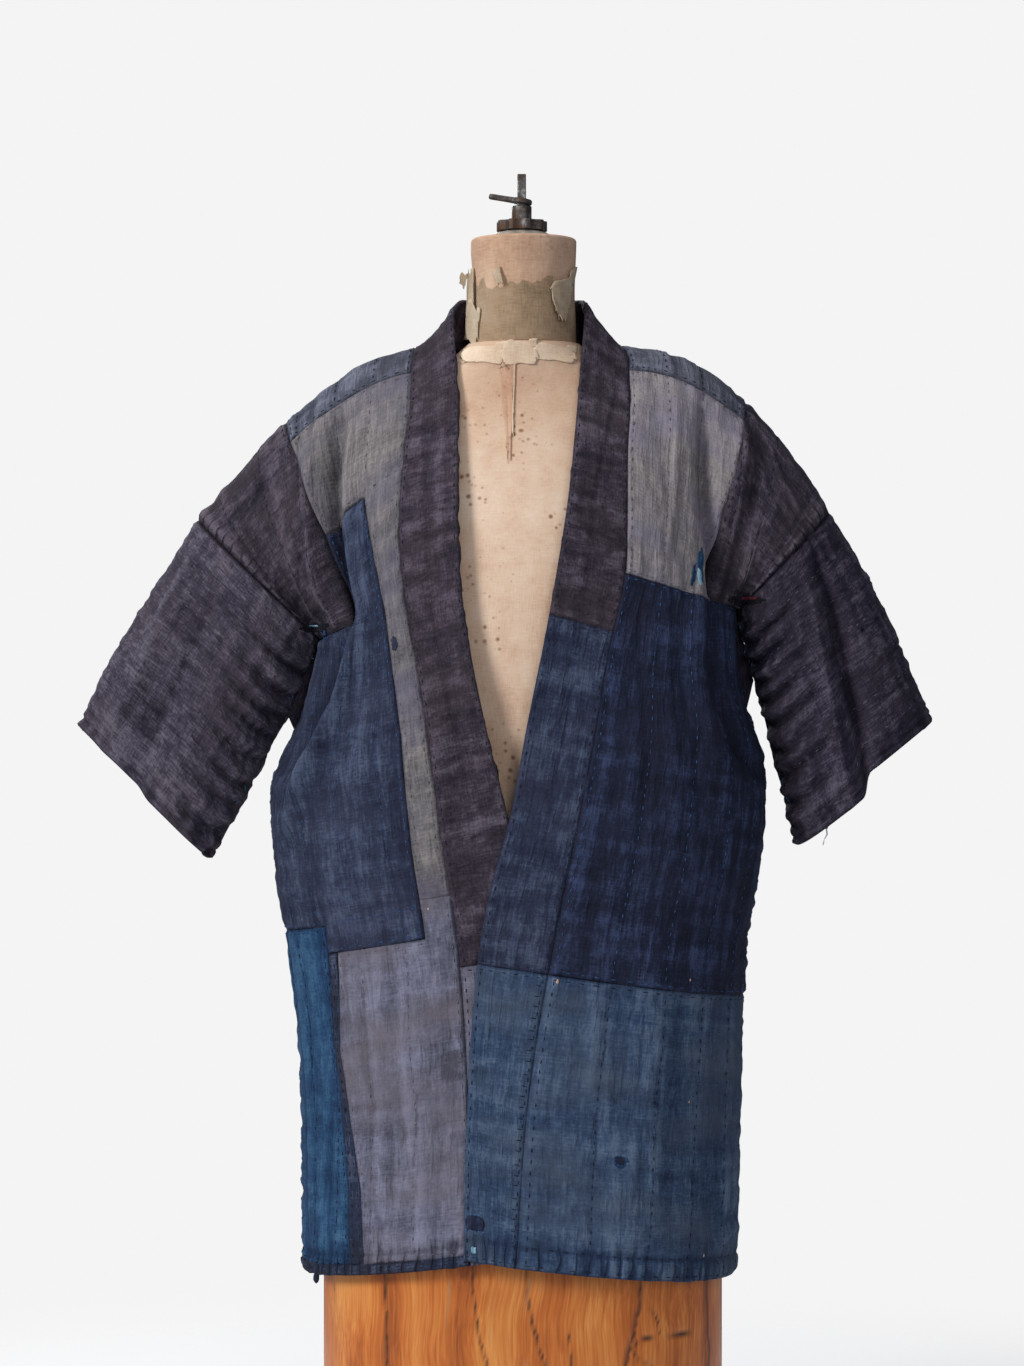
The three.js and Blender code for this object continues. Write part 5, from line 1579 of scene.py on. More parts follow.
@dataclass
class Stitching:
    """Running stitches, laid on the sheets and joined into one mesh for each thread."""

    pitch: float = 9.6
    length: float = 3.6
    width: float = 0.7
    inset: float = 3.6
    batch: int = 40
    meshes: dict[str, bmesh.types.BMesh] = field(default_factory=dict)
    batches: dict[str, list[Matrix]] = field(default_factory=dict)
    count: int = 0

    def flush(self, thread: str) -> None:
        """Adds the waiting stitches of one thread to its mesh. Small batches keep this quick."""
        small = bmesh.new()
        for turned in self.batches.pop(thread, []):
            bmesh.ops.create_icosphere(small, subdivisions=1, radius=1.0, matrix=turned)
        mesh = bpy.data.meshes.new("batch")
        small.to_mesh(mesh)
        small.free()
        if thread not in self.meshes:
            self.meshes[thread] = bmesh.new()
        self.meshes[thread].from_mesh(mesh)
        bpy.data.meshes.remove(mesh)

    def stitch(self, thread: str, start: Vector, end: Vector, normal: Vector, width: float) -> None:
        """Adds one stitch.

        Args:
            thread: Name of the thread.
            start: Where it comes up, in metres.
            end: Where it goes down.
            normal: The cloth's normal there.
            width: Half width in millimetres.
        """
        run = end - start
        if run.length < 0.4 * MM or run.length > 14 * MM:
            return
        ahead = run.normalized()
        aside = normal.cross(ahead).normalized()
        up = ahead.cross(aside)
        half = run.length / 2 + 0.3 * MM
        middle = (start + end) / 2 + up * 0.12 * MM
        turned = Matrix((ahead * half, aside * width * MM, up * width * 0.8 * MM)).transposed().to_4x4()
        turned.translation = middle
        self.batches.setdefault(thread, []).append(turned)
        self.count += 1
        if len(self.batches[thread]) >= self.batch:
            self.flush(thread)

    def run_along(self, sheet: Sheet, thread: str, side: Side, across: np.ndarray, along: np.ndarray,
                  width: Optional[float] = None, lift: float = 0.0) -> None:
        """Stitches between successive pairs of points on a sheet.

        Args:
            sheet: The sheet that carries them.
            thread: Name of the thread.
            side: The wearer's side.
            across: Cloth coordinates of starts and ends, in turn.
            along: The same, in millimetres.
            width: Half width in millimetres.
            lift: How far off the sheet they lie, where there is a mend, in millimetres.
        """
        surface = SURFACES[side]
        up = surface.normal(across, along)
        height = surface.fold_height(across, along)
        points = (surface.plain_point(across, along) + up * height[:, None]) * MM
        landings = [sheet.landing(point, normal) for point, normal in zip(points, up)]
        for first, last in zip(landings[0::2], landings[1::2]):
            if first and last:
                raised = first[1] * (lift * MM)
                self.stitch(thread, first[0] + raised, last[0] + raised, first[1], width or self.width)

    def pairs(self, low: float, high: float, scale: float, seed: int) -> np.ndarray:
        """Starts and ends of stitches between two places.

        Args:
            low: Where the line begins.
            high: Where it ends.
            scale: Units for each millimetre.
            seed: Makes the steps uneven.

        Returns:
            Starts and ends, in turn.
        """
        starts = np.arange(low, high, self.pitch * scale)
        cells = np.column_stack([starts / (self.pitch * scale), np.full(len(starts), seed * 0.37)])
        uneven = noise(cells, seed) * 0.18 * self.pitch * scale
        return np.column_stack([starts + uneven, starts + uneven + self.length * scale]).ravel()

    def quilt(self, sheet: Sheet) -> None:
        """The rows of stitches that hold the layers together."""
        pitch = WRINKLES[sheet.weave].quilt_pitch
        for side, first, last in sheet.runs:
            low, high = min(first, last), max(first, last)
            if sheet.weave is Weave.BODY:
                for k in range(1, int(BODY_SPAN / pitch) + 1):
                    along = self.pairs(low + 8, high - 8, 1.0, k)
                    wander = 2.5 * ripple(np.full_like(along, k * pitch), along, 90.0, 70.0, SEEDS[side] + 6)
                    self.run_along(sheet, sheet.thread, side, (k * pitch - wander) / BODY_SPAN, along)
            elif sheet.weave is Weave.SLEEVE:
                for k in range(1, 7):
                    along = self.pairs(low + 8, high - 8, 520.0 / 390.0, k)
                    across = np.full_like(along, 1.0 + (k * pitch) / SLEEVE_SPAN)
                    self.run_along(sheet, "grey_thread", side, across, along, 0.34)

    def edges(self, sheet: Sheet) -> None:
        """Stitches just inside the sheet's outline."""
        if sheet.weave is Weave.SLEEVE:
            return
        span = BAND_SPAN if sheet.weave is Weave.BAND else BODY_SPAN
        for side in {run[0] for run in sheet.runs}:
            surface = SURFACES[side]
            spans = [run for run in sheet.runs if run[0] is side]
            low = min(min(run[1:]) for run in spans)
            high = max(max(run[1:]) for run in spans)
            for a, b, c, d in sheet.areas:
                a, b = max(a, low), min(b, high)
                for along_edge, step in ((a, 1.0), (b, -1.0)):
                    middle = (c + d) / 2.0
                    if along_edge == ROW["neck_back"] or sheet.holds(middle, along_edge - step):
                        continue
                    width = (surface.column_across(np.array([d]), np.array([along_edge]))
                             - surface.column_across(np.array([c]), np.array([along_edge])))[0] * span
                    share = self.pairs(0.01, 0.99, 1.0 / width, 3)
                    column = c + (d - c) * share
                    along = np.full_like(share, along_edge + step * self.inset)
                    across = surface.column_across(column, along)
                    self.run_along(sheet, sheet.thread, side, across, along)
                for column_edge, step in ((c, 1.0), (d, -1.0)):
                    if sheet.holds(column_edge - step * 0.1, (a + b) / 2.0):
                        continue
                    along = self.pairs(a + 5, b - 5, 1.0, 5)
                    across = surface.column_across(np.full_like(along, column_edge), along)
                    self.run_along(sheet, sheet.thread, side, across + step * self.inset / span, along)

    def loose(self, thread: str, points: tuple[tuple[float, float, float], ...], width: float) -> None:
        """A loose end of thread through points in millimetres."""
        stops = [Vector(point) * MM for point in points]
        for start, end in zip(stops, stops[1:]):
            self.stitch(thread, start, end, Vector((0.0, -1.0, 0.0)), width)

    def finish(self) -> None:
        """Turns each thread's stitches into a piece."""
        for thread in list(self.batches):
            self.flush(thread)
        for thread, bm in self.meshes.items():
            finished(bm, f"stitches_{thread}", THREADS[thread])
        log.info("stitching: %d stitches", self.count)


@dataclass
class Scrap:
    """A small mend, the underlay that shows through a rip, or a near-black sheet of painted shadow in an
    opening, on one of the sheets.

    width runs across the cloth and height along it, in millimetres. Where front is given it is the
    centre's (x, z) in millimetres, and the scrap is laid on from the front, over any seam there.
    """

    name: str
    finish: str
    sheet: str
    side: Side
    across: float
    along: float
    width: float
    height: float
    lift: float = 0.9
    ragged: float = 0.12
    lean: float = 0.0
    wall: float = 1.4
    front: Optional[tuple[float, float]] = None
    cells: int = 14

    def build(self, sheets: dict[str, Sheet]) -> None:
        """Builds the scrap on its sheet."""
        bm = bmesh.new()
        lattice(bm, self.cells, self.cells)
        flat = self.outline(np.array([vertex.co[:2] for vertex in bm.verts]) * 2.0)
        u = flat[:, 0] * self.width / 2.0 + self.lean * flat[:, 1] * self.height / 2.0
        v = flat[:, 1] * self.height / 2.0
        edge = np.clip(np.max(np.abs(flat), axis=1), 0.0, 1.0)
        rise = self.lift * (1.0 - 0.6 * ease((edge - 0.7) / 0.3))
        if self.front:
            place_vertices(bm, self.laid_from_front(sheets, u, v, rise))
        else:
            place_vertices(bm, self.laid_on(sheets[self.sheet], u, v, rise))
            if self.side is Side.RIGHT:
                bmesh.ops.reverse_faces(bm, faces=bm.faces)
        piece = finished(bm, self.name, COTTONS[self.finish])
        place = np.column_stack([u, v]) * MM + 9.0
        give_cloth_map(piece.data, place, np.zeros(len(u)), ease((edge - 0.85) / 0.15) * 0.4)
        give_wall(piece, self.wall)

    def outline(self, flat: np.ndarray) -> np.ndarray:
        """Rounds a square grid's corners and frays its outline."""
        square = np.maximum(np.abs(flat[:, 0]), np.abs(flat[:, 1]))
        length = np.maximum(np.linalg.norm(flat, axis=1), 1e-9)
        stretch = 1.0 + 0.25 * (length / np.maximum(square, 1e-9) - 1.0)
        flat = flat * (square / length)[:, None] * stretch[:, None]
        angle = np.arctan2(flat[:, 1], flat[:, 0])
        seed = len(self.name) + int(self.along)
        rough = noise(np.column_stack([np.cos(angle) * 3.0, np.sin(angle) * 3.0]), seed)
        return flat * (1.0 + self.ragged * rough)[:, None]

    def laid_from_front(self, sheets: dict[str, Sheet], u: np.ndarray, v: np.ndarray,
                        rise: np.ndarray) -> np.ndarray:
        """Points laid on whatever cloth is first from the front.

        Args:
            sheets: Every sheet of the jacket.
            u: Offsets across, in millimetres.
            v: Offsets up, in millimetres.
            rise: How far each point stands off the cloth, in millimetres.

        Returns:
            The points, in metres.
        """
        shaped = []
        depth = 0.0
        for du, dv, up in zip(u, v, rise):
            start = Vector((self.front[0] + du, FRONT_START, self.front[1] + dv)) * MM
            hits = [cloth.tree.ray_cast(start, Vector((0.0, 1.0, 0.0)))[0] for cloth in sheets.values()]
            depth = min((hit.y for hit in hits if hit), default=depth)
            shaped.append(Vector((start.x, depth - up * MM, start.z)))
        return np.array(shaped)

    def laid_on(self, sheet: Sheet, u: np.ndarray, v: np.ndarray, rise: np.ndarray) -> np.ndarray:
        """Points laid on one sheet.

        Args:
            sheet: The sheet.
            u: Offsets across the cloth, in millimetres.
            v: Offsets along it, in millimetres.
            rise: How far each point stands off the sheet, in millimetres.

        Returns:
            The points, in metres.
        """
        span = BAND_SPAN if self.across < 0.0 else (SLEEVE_SPAN if self.across > 1.0 else BODY_SPAN)
        across, along = self.across + u / span, self.along + v
        surface = SURFACES[self.side]
        normals = surface.normal(across, along)
        folds = surface.fold_height(across, along)
        points = (surface.plain_point(across, along) + normals * folds[:, None]) * MM
        shaped = []
        for point, normal, up in zip(points, normals, rise):
            landing = sheet.landing(point, normal)
            location = landing[0] if landing else Vector(point)
            shaped.append(location + Vector(normal) * (up * MM))
        return np.array(shaped)


SCRAPS = (
    Scrap("rip_inner_underlay", "blue", "front_left_shoulder", L, 0.352, 631, 6.0, 32, lean=0.05,
          ragged=0.35),
    Scrap("rip_outer_underlay", "blue", "front_left_shoulder", L, 0.392, 647, 10.0, 42, lean=-0.1,
          ragged=0.35),
    Scrap("rip_outer_light", "pale_blue", "front_left_shoulder", L, 0.388, 634, 6.5, 26, lift=1.3,
          lean=-0.12),
    Scrap("strip_mend", "navy", "front_right_shoulder", R, 0.088, 564, 7.5, 12, ragged=0.15),
    Scrap("hem_mend", "indigo_left", "band_left_lower", L, -0.8, 33, 21.0, 13, ragged=0.06),
    Scrap("hem_corner_mend", "pale_blue", "band_left_lower", L, -0.82, 10, 6.0, 6, ragged=0.3),
    Scrap("skirt_hole_rim", "blue", "front_left_skirt", L, 0.252, 102, 10.0, 10.5, lift=0.5, ragged=0.3),
    Scrap("skirt_hole", "indigo_left", "front_left_skirt", L, 0.25, 102, 7.0, 7.5, ragged=0.25),
    # near-black sheets of painted shadow in the openings under the arms, with the red lining and frayed ends
    # laid over them
    Scrap("underarm_gap_left", "black_shadow", "cap_left", L, 1.0, 600, 31.0, 9.0, ragged=0.25,
          front=(205.0, 850.0)),
    Scrap("underarm_lining_left", "red", "cap_left", L, 1.0, 600, 15.0, 2.8, lift=1.4, front=(208.0, 852.0)),
    Scrap("underarm_gap_right", "black_shadow", "cap_right", R, 1.0, 600, 25.0, 8.5, ragged=0.3,
          front=(-186.0, 825.0)),
    Scrap("underarm_end_pale", "pale_blue", "cap_right", R, 1.0, 600, 8.0, 1.8, lift=1.5,
          front=(-188.0, 827.0)),
    Scrap("underarm_end_blue", "blue", "cap_right", R, 1.0, 600, 3.0, 9.0, lift=1.4, front=(-178.0, 819.0)),
)
# Bits of fluff caught in the cloth: sheet, side, across, along, length and half width in millimetres.
FLUFF = (
    ("band_left_lower", L, -0.595, 252.0, 3.4, 1.2), ("front_left_skirt", L, 0.025, 246.0, 3.8, 1.5),
    ("front_left_skirt", L, 0.625, 20.0, 3.2, 1.3), ("front_left_skirt", L, 0.505, 156.0, 2.2, 0.7),
    ("front_left_chest", L, 0.47, 262.0, 2.4, 0.7), ("front_right_skirt", R, 0.075, 322.0, 2.4, 0.8),
)
# Threads that hang from the hem and the left cuff: thread, half width and points in millimetres.
LOOSE_ENDS = (
    ("navy_thread", 3.2, ((-184, -62, 244), (-184, -62, 233))),
    ("pale_thread", 0.7, (
        (279, -30, 652), (278, -31, 645), (280, -31, 638), (277, -30, 632), (276, -30, 627),
    )),
    ("grey_thread", 0.6, ((282, -30, 652), (281, -31, 646), (279, -31, 641), (280, -31, 636))),
)


@dataclass(frozen=True)
class Gusset:
    """A patch of cloth between a line down the body's side and a line on the sleeve.

    body_line gives the along values of the line's ends on the body, and sleeve_line the
    (across, along) of its ends on the sleeve. push moves the patch backwards, in millimetres. A ridge value
    below 0 paints shade over the patch.
    """

    name: str
    body_line: tuple[float, float]
    sleeve_line: tuple[tuple[float, float], tuple[float, float]]
    push: float
    cells_over: int = 8
    cells_down: int = 30
    width: float = 10.0
    length: float = 84.0
    # a fixed ridge value below 0: painted shade that darkens the underarm pieces
    wear: float = -0.8
    wall: float = 1.2

    def build(self, side: Side, finish: str) -> None:
        """Builds the patch.

        Args:
            side: The wearer's side.
            finish: Its cotton.
        """
        bm = bmesh.new()
        i, j = lattice(bm, self.cells_over, self.cells_down)
        down, over = j / self.cells_down, i / self.cells_over
        (first_across, first_along), (last_across, last_along) = self.sleeve_line
        body_along = self.body_line[0] + (self.body_line[1] - self.body_line[0]) * down
        across = first_across + (last_across - first_across) * down
        along = first_along + (last_along - first_along) * down
        body = SURFACES[side].body_point(np.ones_like(down), body_along)
        sleeve = SURFACES[side].sleeve_point(across, along)
        points = body + (sleeve - body) * over[:, None]
        points[:, 0] *= side.value
        points[:, 1] += self.push + 1.2 * ripple(over * self.width, down * self.length, 9.0, 7.0, 3)
        place_vertices(bm, points * MM)
        piece = finished(bm, f"underarm_{self.name}_{side.name.lower()}", COTTONS[finish])
        place = np.column_stack([over * self.width, down * self.length]) * MM + 7.0
        give_cloth_map(piece.data, place, np.full(len(down), self.wear), np.zeros(len(down)))
        give_wall(piece, self.wall, 0.0)


@dataclass
class Jacket:
    """The jacket: its sheets, the stitching on them, and its mends."""

    sheets: dict[str, Sheet] = field(default_factory=dict)

    def build(self) -> None:
        """Builds every sheet, then what is sewn on."""
        for sheet in jacket_sheets():
            self.sheets[sheet.name] = sheet
            sheet.build()
        for scrap in SCRAPS:
            scrap.build(self.sheets)
        self.close_underarms()
        self.sew()

    def close_underarms(self) -> None:
        """The layers that show in the unsewn underarms and where the sleeve bulges against the side, painted
        darker as shade.
        """
        armpit, back_armpit = ROW["armpit"], ROW["back_armpit"]
        for side, finish in ((L, "sleeve_left"), (R, "plum_sleeve")):
            for gusset in (
                Gusset("side", (armpit - 0.5, armpit - 88), ((1.0, armpit), (1.36, armpit)), 0.0),
                Gusset("front", (armpit + 1, armpit + 55), ((1.07, armpit + 1), (1.07, armpit + 55)), 4.0),
                Gusset("back", (back_armpit - 1, back_armpit - 55),
                       ((1.07, back_armpit - 1), (1.07, back_armpit - 55)), -4.0),
            ):
                gusset.build(side, finish)

    def sew(self) -> None:
        """Quilting, seam stitches, the mends' stitches and the loose threads."""
        stitching = Stitching()
        for sheet in self.sheets.values():
            stitching.quilt(sheet)
            stitching.edges(sheet)
        skirt = self.sheets["front_left_skirt"]
        hem = stitching.pairs(0.02, 0.98, 1.0 / BODY_SPAN, 7)
        stitching.run_along(skirt, "navy_thread", L, hem, np.full_like(hem, HEM_LINE))
        lower = self.sheets["band_left_lower"]
        mend = stitching.pairs(-0.92, -0.66, 0.5 / BAND_SPAN, 2)
        stitching.run_along(lower, "pale_thread", L, mend, np.full_like(mend, 34.0), 0.55, 2.2)
        border = stitching.pairs(-0.98, -0.62, 0.5 / BAND_SPAN, 4)
        for along in (26.0, 40.0):
            stitching.run_along(lower, "blue_thread", L, border, np.full_like(border, along), 0.6, 0.5)
        rungs = stitching.pairs(22.0, 246.0, 1.0, 11)[0::2]
        stitching.run_along(lower, "navy_thread", L, np.tile((-0.15, -0.06), len(rungs)), np.repeat(rungs, 2))
        for name, side, across, along, length, half_width in FLUFF:
            ends = np.array((across, across)), np.array((along, along + length))
            stitching.run_along(self.sheets[name], "cream_thread", side, *ends, half_width)
        for side, name in ((L, "sleeve_left"), (R, "sleeve_right")):
            across = stitching.pairs(1.08, 1.97, 1.6 / SLEEVE_SPAN, 9)
            kept = np.repeat(noise(np.column_stack([across[0::2] * 20.0, across[0::2]]), 5) > -0.1, 2)
            along = np.full(kept.sum(), 616.0)
            stitching.run_along(self.sheets[name], "blue_thread", side, across[kept], along, 0.6)
        for thread, width, points in LOOSE_ENDS:
            stitching.loose(thread, points, width)
        stitching.finish()


# ---------------------------------------------------------------- the dress form and the stump


def lofted(levels: np.ndarray, ring: Callable[[float, np.ndarray], np.ndarray],
           turns: np.ndarray) -> bmesh.types.BMesh:
    """Closed bmesh through level rings, with a flat face at each end.

    Args:
        levels: Heights of the rings, in millimetres.
        ring: Gives the ring's points at a height, for the turns.
        turns: Angles round the ring, from 0 to a full turn, both ends in.

    Returns:
        The bmesh, in metres.
    """
    bm = bmesh.new()
    i, j = lattice(bm, len(turns) - 1, len(levels) - 1)
    rings = np.array([ring(level, turns) for level in levels])
    place_vertices(bm, rings[j, i] * MM)
    bmesh.ops.remove_doubles(bm, verts=bm.verts, dist=0.01 * MM)
    bmesh.ops.holes_fill(bm, edges=[edge for edge in bm.edges if edge.is_boundary], sides=0)
    bmesh.ops.recalc_face_normals(bm, faces=bm.faces)
    return bm


def bevelled(bm: bmesh.types.BMesh, size: float, angle: float = 0.5) -> None:
    """Bevels the sharp edges of a bmesh.

    Args:
        bm: The mesh, in metres.
        size: Width in millimetres.
        angle: Edges sharper than this are bevelled, in radians.
    """
    pairs = [edge for edge in bm.edges if len(edge.link_faces) == 2]
    sharp = [edge for edge in pairs if edge.calc_face_angle(0.0) > angle]
    bmesh.ops.bevel(bm, geom=sharp, offset=size * MM, segments=3, profile=0.5, affect="EDGES", material=-1)


NECK_X = 3.5
NECK_RADIUS = 48.5
# how far forward a flap's point lies where it is above the torso's top edge
OVER_THE_TOP = -50.0
FORM = Table(("z", "half_width", "half_depth", "x"), (
    (450.3, 166, 106, 1), (520, 158, 101, 1), (600, 146, 96, 1), (665, 144, 95, 1), (740, 151, 99, 1),
    (815, 158, 103, 1), (880, 163, 101, 1.5), (930, 166, 94, 2), (970, 162, 83, 2),
    (1005, 148, 69, 2.5), (1035, 122, 56, 3), (1055, 94, 50, 3), (1072, 68, 48, 3.5),
    (1085.7, 52, 48.5, 3.5),
))


@dataclass(frozen=True)
class Peeling:
    """A ragged flap of linen or paper on the form's front.

    corners are (x, z) in millimetres, anticlockwise from the lower left as seen from the front, and
    lifts say how far each corner stands off the form.
    """

    name: str
    corners: tuple[tuple[float, float], ...]
    lifts: tuple[float, ...]
    cells: int = 18
    wall: float = 0.7

    def build(self, finish: Finish, form: Optional[BVHTree]) -> None:
        """Builds the flap on the torso's tree, or on the neck where there is none."""
        bm = bmesh.new()
        lattice(bm, self.cells, self.cells)
        place = np.array([vertex.co[:2] for vertex in bm.verts]) + 0.5
        edge = np.min(np.minimum(place, 1.0 - place), axis=1)
        rough = np.column_stack([noise(place * 6.0, 4), noise(place * 6.0, 9)])
        place = place + rough * 0.14 * np.exp(-edge / 0.12)[:, None]
        u, v = place[:, 0], place[:, 1]
        weights = np.column_stack([(1 - u) * (1 - v), u * (1 - v), u * v, (1 - u) * v])
        flat = weights @ np.array(self.corners, float)
        lift = weights @ np.array(self.lifts) + 0.35 * noise(place * 4.0, 12)
        points = []
        for (x, z), off in zip(flat, np.maximum(lift, 0.2)):
            if form is None:
                turn = math.asin(max(-1.0, min(1.0, (x - NECK_X) / NECK_RADIUS)))
                radius = NECK_RADIUS + off
                points.append((NECK_X + radius * math.sin(turn), -radius * math.cos(turn), z))
                continue
            hit = form.ray_cast(Vector((x, FRONT_START, z)) * MM, Vector((0.0, 1.0, 0.0)))
            if hit[0] is None:
                points.append((x, OVER_THE_TOP, z))
            else:
                points.append(tuple((hit[0] + hit[1] * (off * MM)) / MM))
        place_vertices(bm, np.array(points) * MM)
        give_wall(finished(bm, self.name, finish), self.wall, 1.0)


@dataclass
class DressForm:
    """Torso, neck and the iron fittings on it."""

    exponent: float = 2.15
    torso_sides: int = 120
    torso_step: float = 7.0
    neck_sides: int = 128
    neck_foot: float = 1086.0
    neck_top: float = 1183.0
    neck_rounding: float = 3.0

    def build(self) -> None:
        """Builds the form from the stump up."""
        turns = np.linspace(0.0, 2.0 * math.pi, self.torso_sides + 1)
        levels = fill_steps(FORM.column("z"), self.torso_step)
        # the torso's top gets painted shade under the collar
        calico = Calico("aged_calico", roughness=0.85, specular=0.3, collar_shade=0.38)
        torso = finished(lofted(levels, self.torso_ring, turns), "form_torso_calico", calico,
                         ("form_torso",))
        linen = Calico("unbleached_linen", roughness=0.95, specular=0.2, deep="#77654f", base="#9f866b",
                       pale="#b5a089", spot="#6d4c38", spots=0.35, weave=1.5, peeled_above=1.137)
        turns = np.linspace(0.0, 2.0 * math.pi, self.neck_sides + 1)
        shoulder = self.neck_top - self.neck_rounding
        levels = np.concatenate([
            [self.neck_foot], np.linspace(self.neck_foot + 1, shoulder, 60),
            shoulder + self.neck_rounding * np.sin(np.linspace(0.2, math.pi / 2, 6)),
        ])
        neck = lofted(levels, self.neck_ring, turns)
        finished(neck, "form_neck_linen", linen, ("form_neck",))
        self.peelings(BVHTree.FromPolygons(
            [vertex.co.copy() for vertex in torso.data.vertices],
            [tuple(polygon.vertices) for polygon in torso.data.polygons],
        ))
        self.fittings()

    def peelings(self, torso: BVHTree) -> None:
        """Linen that peels from the neck, and torn paper where the neck meets the torso."""
        paper = Calico("torn_pale_paper", roughness=0.95, specular=0.1, deep="#c4a68a", base="#dcc4a9",
                       pale="#eedcc6", spots=0.2)
        loose_linen = Calico("peeled_linen", roughness=0.95, specular=0.1, deep="#8d7b64", base="#b09d84",
                             pale="#cdbda6", spots=0.2, weave=1.5)
        bared = Calico("bared_papier_mache", roughness=0.9, specular=0.1, deep="#b98f74", base="#cba58a",
                       pale="#dabda4", spots=0.4)
        for name, finish, lift, corners in (
            ("paper_rim_right", paper, 1.0, ((-54, 1066), (-13, 1064), (-11, 1083), (-54, 1079))),
            ("paper_rim_middle", paper, 1.2, ((-17, 1061), (17, 1065), (16, 1085), (-16, 1085))),
            ("paper_rim_left", paper, 1.0, ((11, 1068), (51, 1065), (52, 1079), (12, 1084))),
            ("tear_down_the_front", bared, 0.5, ((-11.5, 978), (-8.5, 978), (-5.5, 1064), (-19, 1064))),
            ("tear_edge", paper, 0.9, ((-7.5, 1000), (-6.5, 1000), (-4.0, 1072), (-6.0, 1072))),
        ):
            Peeling(name, corners, (lift,) * 4).build(finish, torso)
        for name, corners, lifts in (
            ("neck_flap_left", ((32, 1106), (40, 1106), (51, 1152), (25, 1134)), (5.0, 3.0, 0.6, 1.2)),
            ("neck_flap_left_lower", ((29, 1113), (35, 1103), (40, 1118), (27, 1133)), (6.0, 6.5, 1.5, 1.2)),
            ("neck_flap_right", ((-49, 1092), (-38, 1082), (-36, 1112), (-44, 1128)), (6.5, 1.2, 0.5, 3.0)),
            ("neck_flap_right_upper", ((-48, 1118), (-41, 1112), (-42, 1150), (-48, 1156)),
             (5.0, 1.0, 0.5, 3.0)),
            ("neck_flap_small", ((-18, 1136), (-14, 1138), (-18, 1152), (-25, 1148)), (4.0, 3.0, 0.6, 0.8)),
            ("neck_scrap_right", ((-52, 1143), (-48, 1137), (-47, 1150), (-51, 1153)),
             (11.0, 6.0, 3.0, 10.0)),
        ):
            Peeling(name, corners, lifts).build(loose_linen, None)

    def torso_ring(self, level: float, turns: np.ndarray) -> np.ndarray:
        """A level ring of the torso."""
        centre, half_width, half_depth = (
            FORM.curve(name, np.array([level]))[0] for name in ("x", "half_width", "half_depth")
        )
        power = 2.0 / self.exponent
        x = centre + half_width * signed_power(np.cos(turns), power)
        y = half_depth * signed_power(np.sin(turns), power)
        return np.column_stack([x, y, np.full_like(turns, level)])

    def neck_ring(self, level: float, turns: np.ndarray) -> np.ndarray:
        """A level ring of the neck, with a rounded top and the cloth's slight unevenness."""
        shoulder = max(0.0, level - (self.neck_top - self.neck_rounding)) / self.neck_rounding
        radius = NECK_RADIUS - 1.0 + math.cos((level - self.neck_foot) / 15.0)
        radius -= self.neck_rounding * (1.0 - math.sqrt(max(1.0 - shoulder ** 2, 0.0)))
        cells = np.column_stack([np.cos(turns) * 2.2, np.sin(turns) * 2.2, np.full_like(turns, level / 26.0)])
        radii = radius + 0.55 * noise(cells, 3)
        return np.column_stack([
            NECK_X + radii * np.cos(turns), radii * np.sin(turns), np.full_like(turns, level),
        ])

    def fittings(self) -> None:
        """Cap, collar, boss, lever and rod: the CAD shapes with their edges worn round."""
        iron = Iron("worn_cast_iron", roughness=0.55, metallic=0.75, specular=0.5)
        steel = Iron("dull_steel", roughness=0.4, metallic=0.9, base="#5c5a58", rust="#4d443d",
                     bright="#85837f")
        cap_iron = Iron("grey_painted_iron", roughness=0.6, metallic=0.25, base="#8f877b", rust="#6d5c4c",
                        bright="#a8a195")
        for node, finish, bevel in (
            ("fitting_collar", iron, 0.7), ("fitting_boss", iron, 0.9), ("fitting_lever", iron, 1.5),
            ("fitting_rod", steel, 0.8), ("fitting_cap", cap_iron, 0.4),
        ):
            bm = bmesh.new()
            bm.from_mesh(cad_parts[node].data)
            bmesh.ops.remove_doubles(bm, verts=bm.verts, dist=0.005 * MM)
            bmesh.ops.dissolve_limit(bm, angle_limit=0.02, verts=bm.verts, edges=bm.edges)
            bevelled(bm, bevel)
            bmesh.ops.triangulate(bm, faces=[face for face in bm.faces if len(face.verts) > 4])
            piece = finished(bm, f"{node}_worn", finish, (node,))
            piece.data.set_sharp_from_angle(angle=math.radians(50))


@dataclass(frozen=True)
class Crack:
    """A drying crack down the stump, through (x, z) points on its front, in millimetres."""

    width: float
    depth: float
    path: tuple[tuple[float, float], ...]

    def strength(self, x: np.ndarray, z: np.ndarray) -> np.ndarray:
        """1 in the crack, 0 away from it."""
        best = np.full(len(x), np.inf)
        for (x0, z0), (x1, z1) in zip(self.path, self.path[1:]):
            dx, dz = x1 - x0, z1 - z0
            q = np.clip(((x - x0) * dx + (z - z0) * dz) / (dx * dx + dz * dz), 0.0, 1.0)
            best = np.minimum(best, np.hypot(x - x0 - q * dx, z - z0 - q * dz))
        return soft_line(best, self.width)


